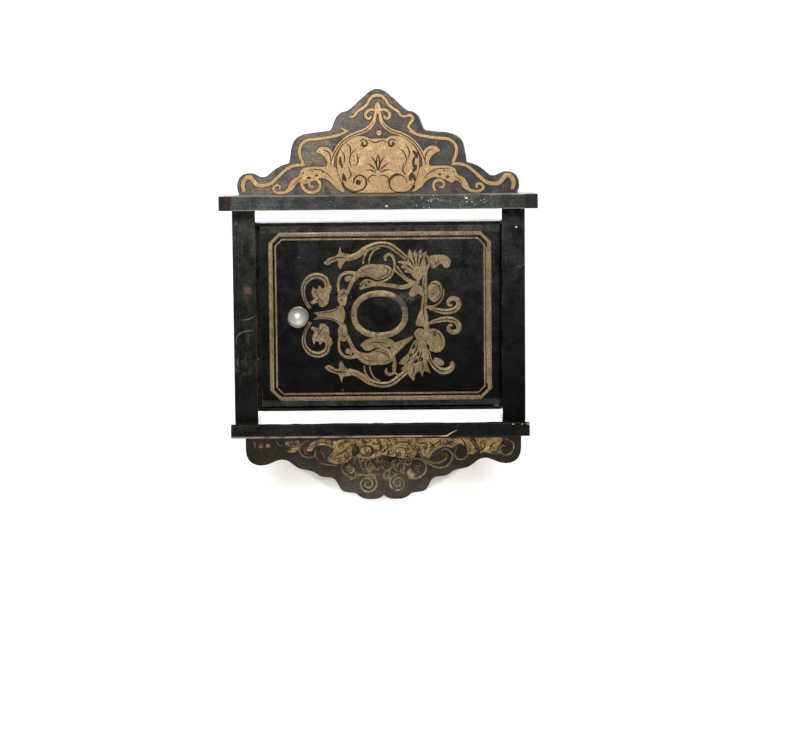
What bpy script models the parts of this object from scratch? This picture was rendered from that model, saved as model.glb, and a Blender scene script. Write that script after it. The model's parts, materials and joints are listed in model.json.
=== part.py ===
"""A small ebonised wall cabinet: a boxed cupboard with one door, hung between two
uprights and two shelves, with a shaped crest above and a shaped apron below.

Metres, +Z up, +X to the viewer's right, the front faces -Y. The wall is the plane
Y = 0 and the origin is the centre of the back panel's rear face.
"""

import math

import bmesh
import bpy
from mathutils import Matrix, Vector

# Joinery clearances
GAP = 0.0003  # between two pieces that touch
RUNNING = 0.0001  # round a pin or a spindle that turns
DOOR_HEADROOM = 0.0005
DOOR_UNDERCUT = 0.002

# The boxed cupboard
BOX_HEIGHT = 0.191
BOX_TOP_THICK = 0.003
BOX_BOTTOM_THICK = 0.003
BOX_SIDE_THICK = 0.006
BACK_PANEL_THICK = 0.003
BOX_TOP_FRONT = 0.0638  # depth of each front edge from the wall
BOX_BOTTOM_FRONT = 0.0622
BOX_SIDE_FRONT = 0.0535

# Uprights and shelves
STILE_WIDTH = 0.0232
STILE_DEPTH = 0.064
STILE_SPACING = 0.2487  # clear width between the two uprights
SLOT_ABOVE_BOX = 0.013
SLOT_BELOW_BOX = 0.0118
TOP_SHELF = (0.318, 0.090, 0.0145)  # width, depth, thickness
BOTTOM_SHELF = (0.301, 0.086, 0.013)

# Shaped boards against the wall
SHAPED_THICK = 0.008
CREST_FOOT_HALF = 0.144
APRON_HEAD_HALF = 0.1437
APRON_OFFSET = 0.0028  # the apron sits a little to the right
CURVE_STEPS = 5

# The door and its two pivot pins
DOOR_WIDTH = 0.243
DOOR_THICK = 0.009
DOOR_FRONT = 0.063
DOOR_SHIFT = 0.00165  # the leaf's centre lies right of the cabinet's
PIVOT_RADIUS = 0.001
PIVOT_DEPTH = 0.012  # how far a pin goes into the leaf
WASHER_THICK = 0.0014
WASHER_RADIUS = 0.0035

# The knob and the turning catch behind it
KNOB_X = -0.082
KNOB_Z = 0.0004
BALL_RADIUS = 0.01025
NECK_RADIUS = 0.0038
NECK_LENGTH = 0.0035
ROSE_RADIUS = 0.0105
ROSE_THICK = 0.0012
SPINDLE_RADIUS = 0.002
SPINDLE_IN_KNOB = 0.010
TONGUE_REACH = 0.0325
TONGUE_WIDTH = 0.009
TONGUE_THICK = 0.0015
SPACER_THICK = 0.0018
NUT_THICK = 0.002
NUT_RADIUS = 0.0038
KEEPER_THICK = 0.001
KEEPER_HEIGHT = 0.018
KEEPER_REACH = 0.0085
KEEPER_DEPTH = 0.014

# Fixings
DOWEL_RADIUS = 0.003
DOWEL_IN_STILE = 0.014
DOWEL_IN_SHELF = 0.0095
DOWEL_DEPTHS = (0.016, 0.048)
SHAPED_SCREW = (0.0018, 0.028)  # shank radius, length
CREST_SCREW_X = 0.100
APRON_SCREW_X = 0.080
BOX_SCREW = (0.0015, 0.020)
BOX_SCREW_DEPTH = 0.030
BOX_SCREW_Z = 0.060
SMALL_SCREW = (0.0011, 0.009)
PANEL_PIN = (0.0006, 0.011)
PANEL_PIN_Z = 0.082

# Keyhole hanging plates, let into the uprights' backs
HANGER = (0.015, 0.044, 0.0015)  # width, height, thickness
HANGER_Z = 0.070
HANGER_SINK = 0.0002
HANGER_SCREW_SPREAD = 0.017
KEYHOLE_RADIUS = 0.0042
KEYHOLE_SLOT_RADIUS = 0.0022
KEYHOLE_RISE = 0.009
HANGER_POCKET = (0.011, 0.024, 0.009)

# Levels and edges that follow from these
BOX_TOP = BOX_HEIGHT / 2
BOX_BOTTOM = -BOX_TOP
TOP_SHELF_UNDER = BOX_TOP + SLOT_ABOVE_BOX
TOP_SHELF_TOP = TOP_SHELF_UNDER + TOP_SHELF[2]
BOTTOM_SHELF_TOP = BOX_BOTTOM - SLOT_BELOW_BOX
BOTTOM_SHELF_UNDER = BOTTOM_SHELF_TOP - BOTTOM_SHELF[2]
BOX_HALF_WIDTH = STILE_SPACING / 2 - GAP
BOX_INNER = BOX_HALF_WIDTH - BOX_SIDE_THICK
STILE_X = (STILE_SPACING + STILE_WIDTH) / 2
DOOR_LEFT = DOOR_SHIFT - DOOR_WIDTH / 2
DOOR_RIGHT = DOOR_SHIFT + DOOR_WIDTH / 2
DOOR_TOP = BOX_TOP - BOX_TOP_THICK - DOOR_HEADROOM
DOOR_BOTTOM = BOX_BOTTOM + BOX_BOTTOM_THICK + DOOR_UNDERCUT
DOOR_BACK = DOOR_FRONT - DOOR_THICK
PIVOT_X = DOOR_RIGHT - DOOR_THICK / 2
PIVOT_Y = DOOR_THICK / 2 - DOOR_FRONT
KEEPER_FRONT = BOX_SIDE_FRONT - 2 * GAP
TONGUE_FRONT = DOOR_BACK - SPACER_THICK - 2 * GAP

SIDES = (("left", -1), ("right", 1))
LEVELS = (("upper", 1), ("lower", -1))
TO_WALL = Vector((0, 1, 0))
TO_ROOM = Vector((0, -1, 0))


def clear_scene():
    for obj in list(bpy.data.objects):
        bpy.data.objects.remove(obj, do_unlink=True)


def make_material(name, colour, roughness, metallic=0.0):
    material = bpy.data.materials.new(name)
    material.use_nodes = True
    shader = material.node_tree.nodes["Principled BSDF"]
    shader.inputs["Base Color"].default_value = (*colour, 1)
    shader.inputs["Roughness"].default_value = roughness
    shader.inputs["Metallic"].default_value = metallic
    return material


def add_object(name, bm, material):
    """The bmesh as a named object whose faces point out."""
    bmesh.ops.recalc_face_normals(bm, faces=bm.faces)
    mesh = bpy.data.meshes.new(name)
    bm.to_mesh(mesh)
    bm.free()
    obj = bpy.data.objects.new(name, mesh)
    bpy.context.collection.objects.link(obj)
    if material:
        mesh.materials.append(material)
    return obj


def add_block(name, low, high, material=None):
    """A rectangular block between two corners."""
    size = Vector(high) - Vector(low)
    centre = (Vector(high) + Vector(low)) / 2
    bm = bmesh.new()
    bmesh.ops.create_cube(bm, size=1, matrix=Matrix.Diagonal((*size, 1)))
    obj = add_object(name, bm, material)
    obj.location = centre
    return obj


def add_plate(name, outline, thickness, material=None):
    """An outline in the local XY plane, extruded from Z = 0 up to the thickness."""
    bm = bmesh.new()
    face = bm.faces.new([bm.verts.new((x, y, 0)) for x, y in outline])
    extruded = bmesh.ops.extrude_face_region(bm, geom=[face])["geom"]
    moved = [item for item in extruded if isinstance(item, bmesh.types.BMVert)]
    bmesh.ops.translate(bm, verts=moved, vec=(0, 0, thickness))
    return add_object(name, bm, material)


def add_turned(name, profile, material=None, segments=12):
    """A profile of (radius, height) pairs, from axis to axis, turned about the local Z."""
    bm = bmesh.new()
    verts = [bm.verts.new((radius, 0, height)) for radius, height in profile]
    edges = [bm.edges.new(pair) for pair in zip(verts, verts[1:])]
    bmesh.ops.spin(
        bm, geom=verts + edges, cent=(0, 0, 0), axis=(0, 0, 1), angle=math.tau, steps=segments
    )
    bmesh.ops.remove_doubles(bm, verts=bm.verts, dist=1e-6)
    obj = add_object(name, bm, material)
    obj.data.shade_smooth()
    obj.data.set_sharp_from_angle(angle=math.radians(40))
    return obj


def place(obj, location, local_z=(0, 0, 1)):
    """Puts the object's origin at a point, with its local Z along a direction."""
    turn = Vector((0, 0, 1)).rotation_difference(Vector(local_z))
    obj.location = location
    obj.rotation_euler = turn.to_euler()
    return obj


def cut(boards, cutter):
    """Takes a hidden cutter out of each board."""
    cutter.hide_render = True
    cutter.display_type = "WIRE"
    for board in boards:
        boolean = board.modifiers.new(cutter.name, "BOOLEAN")
        boolean.operation = "DIFFERENCE"
        boolean.object = cutter


def cylinder_profile(radius, low, high):
    return [(0, high), (radius, high), (radius, low), (0, low)]


def add_rod(name, size, start, direction, material, holes_in, clearance=GAP, overrun=GAP):
    """A plain round rod from a start point, and the hole that each listed piece has for it."""
    radius, length = size
    hole = cylinder_profile(radius + clearance, -overrun, length + overrun)
    cut(holes_in, place(add_turned(name + "_hole", hole), start, direction))
    rod = add_turned(name, cylinder_profile(radius, 0, length), material)
    return place(rod, start, direction)


def add_screw(name, face, direction, size, material, holes_in, sink=0.0003):
    """A countersunk screw whose head faces along a direction, just under the point on the
    surface, with its hole in each piece that it passes."""
    radius, length = size
    head = 2 * radius
    cone = head - radius
    point = 2 * radius
    shape = [(0, 0), (head, 0), (radius, -cone), (radius, point - length), (0, -length)]
    hole = [(0, 2 * head), (head + GAP, 2 * head), (head + GAP, -GAP)]
    hole += [(radius + GAP, -cone - GAP), (radius + GAP, point - length - GAP), (0, -length - GAP)]
    start = Vector(face) - sink * Vector(direction)
    cut(holes_in, place(add_turned(name + "_hole", hole, segments=10), start, direction))
    return place(add_turned(name, shape, material, segments=10), start, direction)


def curve(start, control_a, control_b, end, steps=CURVE_STEPS):
    """Points of a cubic curve after its start, up to and with its end."""
    points = []
    for step in range(1, steps + 1):
        t = step / steps
        u = 1 - t
        weights = (u * u * u, 3 * u * u * t, 3 * u * t * t, t * t * t)
        corners = (start, control_a, control_b, end)
        points.append(tuple(sum(w * c[axis] for w, c in zip(weights, corners)) for axis in (0, 1)))
    return points


def trace(start, spans):
    """An outline in millimetres from its start, one (control, control, end) per curve or one
    lone point per straight line, returned in metres."""
    points = [start]
    for span in spans:
        if len(span) == 1:
            points += span
        else:
            points += curve(points[-1], *span)
    return [(x / 1000, y / 1000) for x, y in points]


def mirrored(half):
    """A half outline that starts at the foot and ends on the centre line, made whole."""
    other = [(-x, y) for x, y in reversed(half) if x > 1e-6]
    return half + other


def crest_outline():
    """Half width and height over the shelf, from the board's foot up to the peak."""
    foot = 1000 * CREST_FOOT_HALF
    half = trace(
        (foot, -1000 * TOP_SHELF[2]),
        [
            [(foot, 1.5)],
            [(146.6, 7.5), (146.4, 16.0), (140.8, 20.0)],
            [(136.6, 23.0), (129.3, 23.3), (125.0, 20.4)],
            [(121.5, 17.8), (117.0, 16.6), (112.4, 21.0)],
            [(107.0, 26.2), (100.0, 30.6), (91.6, 32.4)],
            [(89.4, 46.0)],
            [(88.0, 57.0), (82.0, 61.6), (70.0, 62.8)],
            [(50.5, 65.0)],
            [(47.2, 65.6), (46.6, 70.0), (44.8, 74.6)],
            [(42.6, 81.0), (38.0, 84.8), (31.5, 85.2)],
            [(25.0, 88.4), (20.5, 95.8), (14.0, 100.0)],
            [(9.5, 104.8), (5.0, 107.6), (0.0, 107.6)],
        ],
    )
    return [(x, z + TOP_SHELF_TOP) for x, z in mirrored(half)]


def apron_outline():
    """Half width and drop under the shelf, from the board's head down to the middle."""
    head = 1000 * APRON_HEAD_HALF
    half = trace(
        (head, 1000 * BOTTOM_SHELF[2]),
        [
            [(head, -22.0)],
            [(head, -33.0), (137.0, -38.5), (128.0, -38.5)],
            [(118.0, -38.3), (113.0, -32.4), (106.0, -32.4)],
            [(98.5, -32.4), (96.0, -37.5), (90.0, -41.0)],
            [(86.0, -43.5), (80.0, -43.0), (75.0, -45.0)],
            [(70.0, -46.5), (68.5, -50.6), (62.5, -51.2)],
            [(58.0, -51.8), (53.0, -51.0), (50.0, -55.0)],
            [(46.5, -60.0), (46.0, -66.0), (40.0, -67.2)],
            [(36.0, -68.0), (32.0, -67.8), (28.5, -69.0)],
            [(24.5, -73.5), (20.0, -75.2), (13.0, -75.0)],
            [(8.0, -75.2), (3.0, -74.0), (0.0, -70.5)],
        ],
    )
    return [(x + APRON_OFFSET, z + BOTTOM_SHELF_UNDER) for x, z in mirrored(half)]


def add_wall_board(name, outline, material):
    """A shaped board that stands with its rear face on the wall."""
    board = add_plate(name, [(-x, z) for x, z in outline], SHAPED_THICK, material)
    board.matrix_world = Matrix(((-1, 0, 0, 0), (0, 0, -1, 0), (0, 1, 0, 0), (0, 0, 0, 1)))
    return board


def add_shelf(name, size, top, notch_centre, notch_half, material):
    """A shelf with its rear edge on the wall, notched there for a shaped board."""
    half = size[0] / 2
    deep = SHAPED_THICK + GAP
    low, high = notch_centre - notch_half - GAP, notch_centre + notch_half + GAP
    outline = [(-half, -size[1]), (half, -size[1]), (half, 0), (high, 0)]
    outline += [(high, -deep), (low, -deep), (low, 0), (-half, 0)]
    return place(add_plate(name, outline, size[2], material), (0, 0, top - size[2]))


def build_carcass(ebony):
    """Both shelves, both uprights, the crest and the apron."""
    top = add_shelf("top_shelf", TOP_SHELF, TOP_SHELF_TOP, 0, CREST_FOOT_HALF, ebony)
    bottom = add_shelf(
        "bottom_shelf", BOTTOM_SHELF, BOTTOM_SHELF_TOP, APRON_OFFSET, APRON_HEAD_HALF, ebony
    )
    stiles = {}
    for side, sign in SIDES:
        low = (sign * STILE_X - STILE_WIDTH / 2, -STILE_DEPTH, BOTTOM_SHELF_TOP + GAP)
        high = (sign * STILE_X + STILE_WIDTH / 2, 0, TOP_SHELF_UNDER - GAP)
        stiles[side] = add_block(side + "_stile", low, high, ebony)
    crest = add_wall_board("crest_board", crest_outline(), ebony)
    apron = add_wall_board("apron_board", apron_outline(), ebony)
    return top, bottom, stiles, crest, apron


def build_dowels(top, bottom, stiles, wood):
    """Two dowels in each end of each upright."""
    length = DOWEL_IN_STILE + DOWEL_IN_SHELF
    ends = (
        ("top", top, TOP_SHELF_UNDER + DOWEL_IN_SHELF),
        ("bottom", bottom, BOTTOM_SHELF_TOP + DOWEL_IN_STILE),
    )
    for end, shelf, upper_end in ends:
        for side, sign in SIDES:
            for place_name, depth in zip(("rear", "front"), DOWEL_DEPTHS):
                start = (sign * STILE_X, -depth, upper_end - length)
                name = f"dowel_{end}_{side}_{place_name}"
                add_rod(name, (DOWEL_RADIUS, length), start, (0, 0, 1), wood, (shelf, stiles[side]))


def build_wall_board_screws(top, bottom, crest, apron, iron):
    """Screws from the rear that hold the crest and the apron to the shelves."""
    crest_z = TOP_SHELF_TOP - TOP_SHELF[2] / 2
    for where, x in (("left", -CREST_SCREW_X), ("middle", 0), ("right", CREST_SCREW_X)):
        add_screw(f"crest_screw_{where}", (x, 0, crest_z), TO_WALL, SHAPED_SCREW, iron, (crest, top))
    apron_z = BOTTOM_SHELF_TOP - BOTTOM_SHELF[2] / 2
    for side, sign in SIDES:
        x = APRON_OFFSET + sign * APRON_SCREW_X
        add_screw(f"apron_screw_{side}", (x, 0, apron_z), TO_WALL, SHAPED_SCREW, iron, (apron, bottom))


def build_box(stiles, ebony, wood, iron):
    """The cupboard's five boards, its fixing screws and the back panel's pins."""
    rear = -BACK_PANEL_THICK - GAP
    half = BOX_HALF_WIDTH
    top_under = BOX_TOP - BOX_TOP_THICK
    bottom_top = BOX_BOTTOM + BOX_BOTTOM_THICK
    top = add_block("box_top_board", (-half, -BOX_TOP_FRONT, top_under), (half, rear, BOX_TOP), ebony)
    bottom = add_block(
        "box_bottom_board", (-half, -BOX_BOTTOM_FRONT, BOX_BOTTOM), (half, rear, bottom_top), ebony
    )
    panel = add_block("box_back_panel", (-half, -BACK_PANEL_THICK, BOX_BOTTOM), (half, 0, BOX_TOP), wood)
    boards = {}
    for side, sign in SIDES:
        xs = sorted((sign * half, sign * BOX_INNER))
        low = (xs[0], -BOX_SIDE_FRONT, bottom_top + GAP)
        high = (xs[1], rear, top_under - GAP)
        board = add_block(f"box_{side}_side", low, high, ebony)
        for level, up in LEVELS:
            face = (sign * BOX_INNER, -BOX_SCREW_DEPTH, up * BOX_SCREW_Z)
            inward = Vector((-sign, 0, 0))
            add_screw(f"box_screw_{side}_{level}", face, inward, BOX_SCREW, iron, (board, stiles[side]))
        for level, up in LEVELS + (("middle", 0),):
            face = (sign * (half - BOX_SIDE_THICK / 2), 0, up * PANEL_PIN_Z)
            add_screw(f"panel_pin_{side}_{level}", face, TO_WALL, PANEL_PIN, iron, (panel, board))
        boards[side] = board
    return top, bottom, boards


def build_hangers(stiles, brass):
    """A keyhole plate let into each upright's back, with its pocket and two screws."""
    width, height, thick = HANGER
    for side, sign in SIDES:
        centre = Vector((sign * STILE_X, -HANGER_SINK, HANGER_Z))
        half = Vector((width / 2, 0, height / 2))
        plate = add_block(
            f"hanger_plate_{side}", centre - half - Vector((0, thick, 0)), centre + half, brass
        )
        rim = Vector((GAP, 0, GAP))
        recess_low = centre - half - rim - Vector((0, thick + GAP, 0))
        recess_high = centre + half + rim + Vector((0, thick, 0))
        cut([stiles[side]], add_block(f"hanger_recess_{side}", recess_low, recess_high))
        pocket = Vector(HANGER_POCKET) / 2
        pocket_half = Vector((pocket.x, 0, pocket.y))
        pocket_low = centre - pocket_half - Vector((0, HANGER_POCKET[2], 0))
        cut([stiles[side]], add_block(f"hanger_pocket_{side}", pocket_low, centre + pocket_half))
        cut_keyhole(plate, side, centre)
        for level, up in LEVELS:
            face = centre + Vector((0, 0, up * HANGER_SCREW_SPREAD))
            name = f"hanger_screw_{side}_{level}"
            add_screw(name, face, TO_WALL, SMALL_SCREW, brass, (plate, stiles[side]), sink=0.0)


def cut_keyhole(plate, side, centre):
    """A round entry for the wall screw's head, with a narrower slot rising from it."""
    entry = centre - Vector((0, 0, KEYHOLE_RISE / 2))
    deep = 2 * HANGER[2]
    hole = add_turned(f"keyhole_{side}", cylinder_profile(KEYHOLE_RADIUS, -deep, deep))
    cut([plate], place(hole, entry, TO_WALL))
    slot_low = entry + Vector((-KEYHOLE_SLOT_RADIUS, -deep, 0))
    slot_high = entry + Vector((KEYHOLE_SLOT_RADIUS, deep, KEYHOLE_RISE))
    cut([plate], add_block(f"keyhole_slot_{side}", slot_low, slot_high))


def door_outline():
    """The leaf seen from above: square at the catch edge, half round at the pivots."""
    radius = DOOR_THICK / 2
    steps = 12
    points = [(DOOR_LEFT, -DOOR_BACK), (DOOR_LEFT, -DOOR_FRONT)]
    for step in range(steps + 1):
        angle = math.pi * (step / steps - 0.5)
        points.append((PIVOT_X + radius * math.cos(angle), PIVOT_Y + radius * math.sin(angle)))
    return points


def build_door(box_top, box_bottom, ebony, brass):
    """The leaf with its origin on the pivot line, its two pins, the washer and the rose."""
    outline = [(x - PIVOT_X, y - PIVOT_Y) for x, y in door_outline()]
    door = add_plate("door_panel", outline, DOOR_TOP - DOOR_BOTTOM, ebony)
    place(door, (PIVOT_X, PIVOT_Y, DOOR_BOTTOM))
    door.data.shade_smooth()
    door.data.set_sharp_from_angle(angle=math.radians(40))
    upper_length = PIVOT_DEPTH + DOOR_HEADROOM + BOX_TOP_THICK - GAP
    lower_length = PIVOT_DEPTH + DOOR_UNDERCUT + BOX_BOTTOM_THICK - GAP
    upper = (PIVOT_X, PIVOT_Y, DOOR_TOP - PIVOT_DEPTH)
    lower = (PIVOT_X, PIVOT_Y, DOOR_BOTTOM + PIVOT_DEPTH - lower_length)
    washer = add_turned("pivot_washer", cylinder_profile(WASHER_RADIUS, 0, WASHER_THICK), brass)
    place(washer, (PIVOT_X, PIVOT_Y, BOX_BOTTOM + BOX_BOTTOM_THICK + GAP))
    pins = (
        ("upper_pivot_pin", upper_length, upper, (door, box_top)),
        ("lower_pivot_pin", lower_length, lower, (door, box_bottom, washer)),
    )
    for name, length, start, bored in pins:
        size = (PIVOT_RADIUS, length)
        add_rod(name, size, start, (0, 0, 1), brass, bored, RUNNING, overrun=DOOR_UNDERCUT)
    return door


def knob_profile():
    """Foot, neck and ball, from the rose outwards."""
    ball_centre = NECK_LENGTH + math.sqrt(BALL_RADIUS**2 - NECK_RADIUS**2)
    start = math.asin(NECK_RADIUS / BALL_RADIUS)
    steps = 11
    points = [(0, 0), (1.5 * NECK_RADIUS, 0), (1.4 * NECK_RADIUS, NECK_LENGTH / 3)]
    for step in range(steps + 1):
        angle = start + (math.pi - start) * step / steps
        points.append((BALL_RADIUS * math.sin(angle), ball_centre - BALL_RADIUS * math.cos(angle)))
    return points


def rose_profile():
    edge = ROSE_THICK / 3
    return [(0, ROSE_THICK), (0.7 * ROSE_RADIUS, ROSE_THICK), (ROSE_RADIUS, edge), (ROSE_RADIUS, 0), (0, 0)]


def build_knob(door, plated, brass):
    """The rose and the ball knob, and behind the leaf a spacer, the tongue and a nut, all
    on one spindle."""

    def on_spindle(name, profile, depth, material, segments):
        turned = add_turned(name, profile, material, segments)
        return place(turned, (KNOB_X, -depth, KNOB_Z), TO_ROOM)

    knob_base = DOOR_FRONT + ROSE_THICK + 2 * GAP
    spacer_back = TONGUE_FRONT + GAP
    nut_back = TONGUE_FRONT - TONGUE_THICK - GAP - NUT_THICK
    spacer_shape = cylinder_profile(2 * SPINDLE_RADIUS, 0, SPACER_THICK)
    nut_shape = cylinder_profile(NUT_RADIUS, 0, NUT_THICK)
    bored = [
        door,
        on_spindle("knob", knob_profile(), knob_base, plated, 24),
        on_spindle("knob_rose", rose_profile(), DOOR_FRONT + GAP, brass, 24),
        on_spindle("catch_spacer", spacer_shape, spacer_back, brass, 12),
        on_spindle("catch_nut", nut_shape, nut_back, brass, 6),
        add_tongue(brass),
    ]
    start = (KNOB_X, -nut_back, KNOB_Z)
    size = (SPINDLE_RADIUS, knob_base + SPINDLE_IN_KNOB - nut_back)
    add_rod("knob_spindle", size, start, TO_ROOM, brass, bored, RUNNING)


def add_tongue(brass):
    """The flat tongue hangs down at rest; a quarter turn takes it behind the keeper."""
    half = TONGUE_WIDTH / 2
    steps = 6
    outline = [(-half, -TONGUE_REACH), (half, -TONGUE_REACH)]
    for step in range(steps + 1):
        angle = math.pi * step / steps
        outline.append((half * math.cos(angle), half * math.sin(angle)))
    tongue = add_plate("latch_tongue", outline, TONGUE_THICK, brass)
    tongue.rotation_euler = (math.radians(90), 0, 0)
    tongue.location = (KNOB_X, -(TONGUE_FRONT - TONGUE_THICK), KNOB_Z)
    return tongue


def build_keeper(side_board, brass):
    """An angle on the left side's inner face; the tongue turns in behind its short leg."""
    outer = -BOX_INNER + GAP
    inner = outer + KEEPER_THICK
    front = -KEEPER_FRONT
    outline = [(outer, front), (outer + KEEPER_REACH, front), (outer + KEEPER_REACH, front + KEEPER_THICK)]
    outline += [(inner, front + KEEPER_THICK), (inner, front + KEEPER_DEPTH), (outer, front + KEEPER_DEPTH)]
    keeper = add_plate("latch_keeper", outline, KEEPER_HEIGHT, brass)
    keeper.location = (0, 0, KNOB_Z - KEEPER_HEIGHT / 2)
    for level, up in LEVELS:
        face = (inner, front + KEEPER_DEPTH - 0.005, KNOB_Z + up * KEEPER_HEIGHT / 4)
        size = (SMALL_SCREW[0], KEEPER_THICK + BOX_SIDE_THICK - 2 * GAP)
        add_screw(f"keeper_screw_{level}", face, (1, 0, 0), size, brass, (keeper, side_board), 0.0)


def build():
    clear_scene()
    ebony = make_material("ebonised_wood", (0.022, 0.023, 0.021), 0.42)
    wood = make_material("plain_wood", (0.30, 0.19, 0.10), 0.75)
    iron = make_material("screw_iron", (0.22, 0.20, 0.18), 0.55, metallic=1.0)
    brass = make_material("brass", (0.62, 0.44, 0.20), 0.35, metallic=1.0)
    plated = make_material("worn_plating", (0.72, 0.70, 0.65), 0.22, metallic=1.0)
    top, bottom, stiles, crest, apron = build_carcass(ebony)
    build_dowels(top, bottom, stiles, wood)
    build_wall_board_screws(top, bottom, crest, apron, iron)
    box_top, box_bottom, box_sides = build_box(stiles, ebony, wood, iron)
    build_hangers(stiles, brass)
    door = build_door(box_top, box_bottom, ebony, brass)
    build_knob(door, plated, brass)
    build_keeper(box_sides["left"], brass)


build()
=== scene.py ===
"""Looks for the small ebonised wall cabinet: worn black lacquer, gilt scrollwork and old
brass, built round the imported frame. Metres, +Z up, the front faces -Y."""

import json
import math
import random

import bmesh
import bpy
from mathutils import Matrix, Vector


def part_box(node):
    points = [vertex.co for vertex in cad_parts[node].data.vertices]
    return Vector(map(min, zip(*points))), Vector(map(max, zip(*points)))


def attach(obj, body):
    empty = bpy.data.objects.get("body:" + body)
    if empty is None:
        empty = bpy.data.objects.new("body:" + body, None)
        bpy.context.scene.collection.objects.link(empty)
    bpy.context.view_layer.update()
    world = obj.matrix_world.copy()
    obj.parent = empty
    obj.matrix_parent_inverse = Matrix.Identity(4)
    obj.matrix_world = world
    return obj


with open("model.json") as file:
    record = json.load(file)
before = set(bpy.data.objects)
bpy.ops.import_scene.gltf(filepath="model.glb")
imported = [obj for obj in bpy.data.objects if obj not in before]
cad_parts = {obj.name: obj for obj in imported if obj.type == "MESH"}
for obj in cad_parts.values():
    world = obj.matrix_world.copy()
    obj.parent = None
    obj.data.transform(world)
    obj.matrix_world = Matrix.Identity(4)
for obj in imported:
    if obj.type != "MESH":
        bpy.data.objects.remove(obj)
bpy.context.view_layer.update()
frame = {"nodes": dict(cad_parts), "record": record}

MM = 0.001

# Camera: in front, a little above the cabinet, with a very slight roll; angles in degrees
CAMERA_PLACE = (0.0081, -2.295, 0.160)
CAMERA_YAW, CAMERA_PITCH, CAMERA_ROLL = -0.276, -5.53, -0.52
CAMERA_LENS = 99.8

# Floor, backdrop and light
FLOOR_DROP = 0.75  # the pale floor lies this far under the origin
SHEET_HALF = 6  # half the side of the floor and of the backdrop
WALL_INSET = 0.0011  # the backdrop hides this much of the back edges, with their rounding
WALL_IN_GLOSS = 2.3  # how bright the backdrop is in a reflection
WALL_CLEAR_FROM, WALL_CLEAR = 0.60, 0.70  # the slant at which the backdrop starts and ends to fade
FLOOR_GLOW, FLOOR_SEEN = 0.12, 0.35  # the floor's own light on the object, and in the camera's eye
FRONT_DIM, REAR_BRIGHT = 0.05, 0.8  # the sky's light from before and from behind the cabinet
TURN_OF_SKY = 0.35  # the sine of the angle, to each side of the wall, by which one has become the other

# Linear colours shared by several boards
RUBBED = (0.105, 0.058, 0.030)
SCUFFED = (0.070, 0.040, 0.024)
PALE_WOOD = (0.38, 0.32, 0.26)
SPECK = (0.42, 0.41, 0.37)
# pale flecks, and also the painted highlights on the bottom shelf's arris
PALE_FLECK_AND_GLINT = (0.85, 0.84, 0.80)
DUST = (0.27, 0.24, 0.19)

# Surfaces
ALONG_X, ALONG_Z = 0, 2  # which way a board's grain runs
SPECULAR = 0.12  # old lacquer's dull shine, as the Principled shader counts it
POLISH_ROUGHNESS = 0.04
SHADE_FALL_LOW, SHADE_FALL_HIGH = -0.10, 0.11  # on the stiles and the door, painted shade: the bloom thins, and the board darkens, downward between these heights
NOISE_LOW, NOISE_HIGH = 0.3, 0.7  # nearly all of a noise's values lie between these
EDGE_SAMPLES = 6
FLAT, ROUND = 0.995, 0.86  # how alike the plain and the rounded normals are on a face and on an arris
FACING_FROM, FACING = 0.8, 0.95  # the same for faces that look along a direction
RAGGED = 0.003  # how far the end of a polished part wanders
GILT_METAL = 0.35  # how metallic whole gilding looks
METAL_SCALE = 180.0  # how fine the tarnish on metal is
ARRIS_SEGMENTS, ARRIS_ANGLE = 2, 50  # the boards' arrises are rounded where faces turn by more than this
SHARP_ANGLE = 38  # the gilding's edges are sharp where faces turn by more than this

# Places on the object, in mm
DOOR_ORNAMENT_X, DOOR_ORNAMENT_Z = 0.6, 2.6  # the oval ring's centre; the scrolls are drawn round it
FOLD_Z = -0.75  # the door ornament's lower half mirrors the upper one about this height
RING_LOSS = (22.0, 15.0, 22.0, 12.0)  # the middle and half sizes of the rubbed part of the ring
RING_SMEAR = (28.5, 20.0, 11.0, 7.5)  # the same for the grey smear on the door beside it
BORDER_X, BORDER_Z = 1.05, 0.25  # the gilt border's centre
BORDER_HALF_X, BORDER_HALF_Z = 112.65, 85.55  # its half sizes
DOOR_FRONT_FROM, DOOR_FRONT = -60.5, -61.5  # depths between which a mark of the door's front fades in
APRON_DROP = 1.7  # the apron's ornament is drawn down from this far under the shelf
RIM = 0.75  # how far the dark rim of a gilt shape shows round it
CHAMFER = 0.22  # how far a filled shape's top draws in from its foot
THINNEST = 0.12  # the narrowest that a ribbon gets
SHOULDER, SHOULDER_HEIGHT = 0.86, 0.75  # a ribbon's shoulder, as shares of its half width and height
VEIN_WEIGHT = 1.35  # on the door and the crest, veins are this much broader than their widths say
DOT_SEED, CURL_SEED = 7, 5  # they scatter the shell's dots and the apron's small curls

# Heights above the lacquer
GILT_HEIGHT = 0.28 * MM
INK_HEIGHT = 0.12 * MM  # how far a vein stands above the gilding
UNDER_HEIGHT = 0.10 * MM  # the dark rims and ground, the door's border and the shelf's scratch
BED = 0.06 * MM  # how far each shape is sunk into the lacquer
LAYERS, LAYER_STEP = 7, 0.006 * MM  # neighbouring shapes stand on different layers


# ---- shader building

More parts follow.
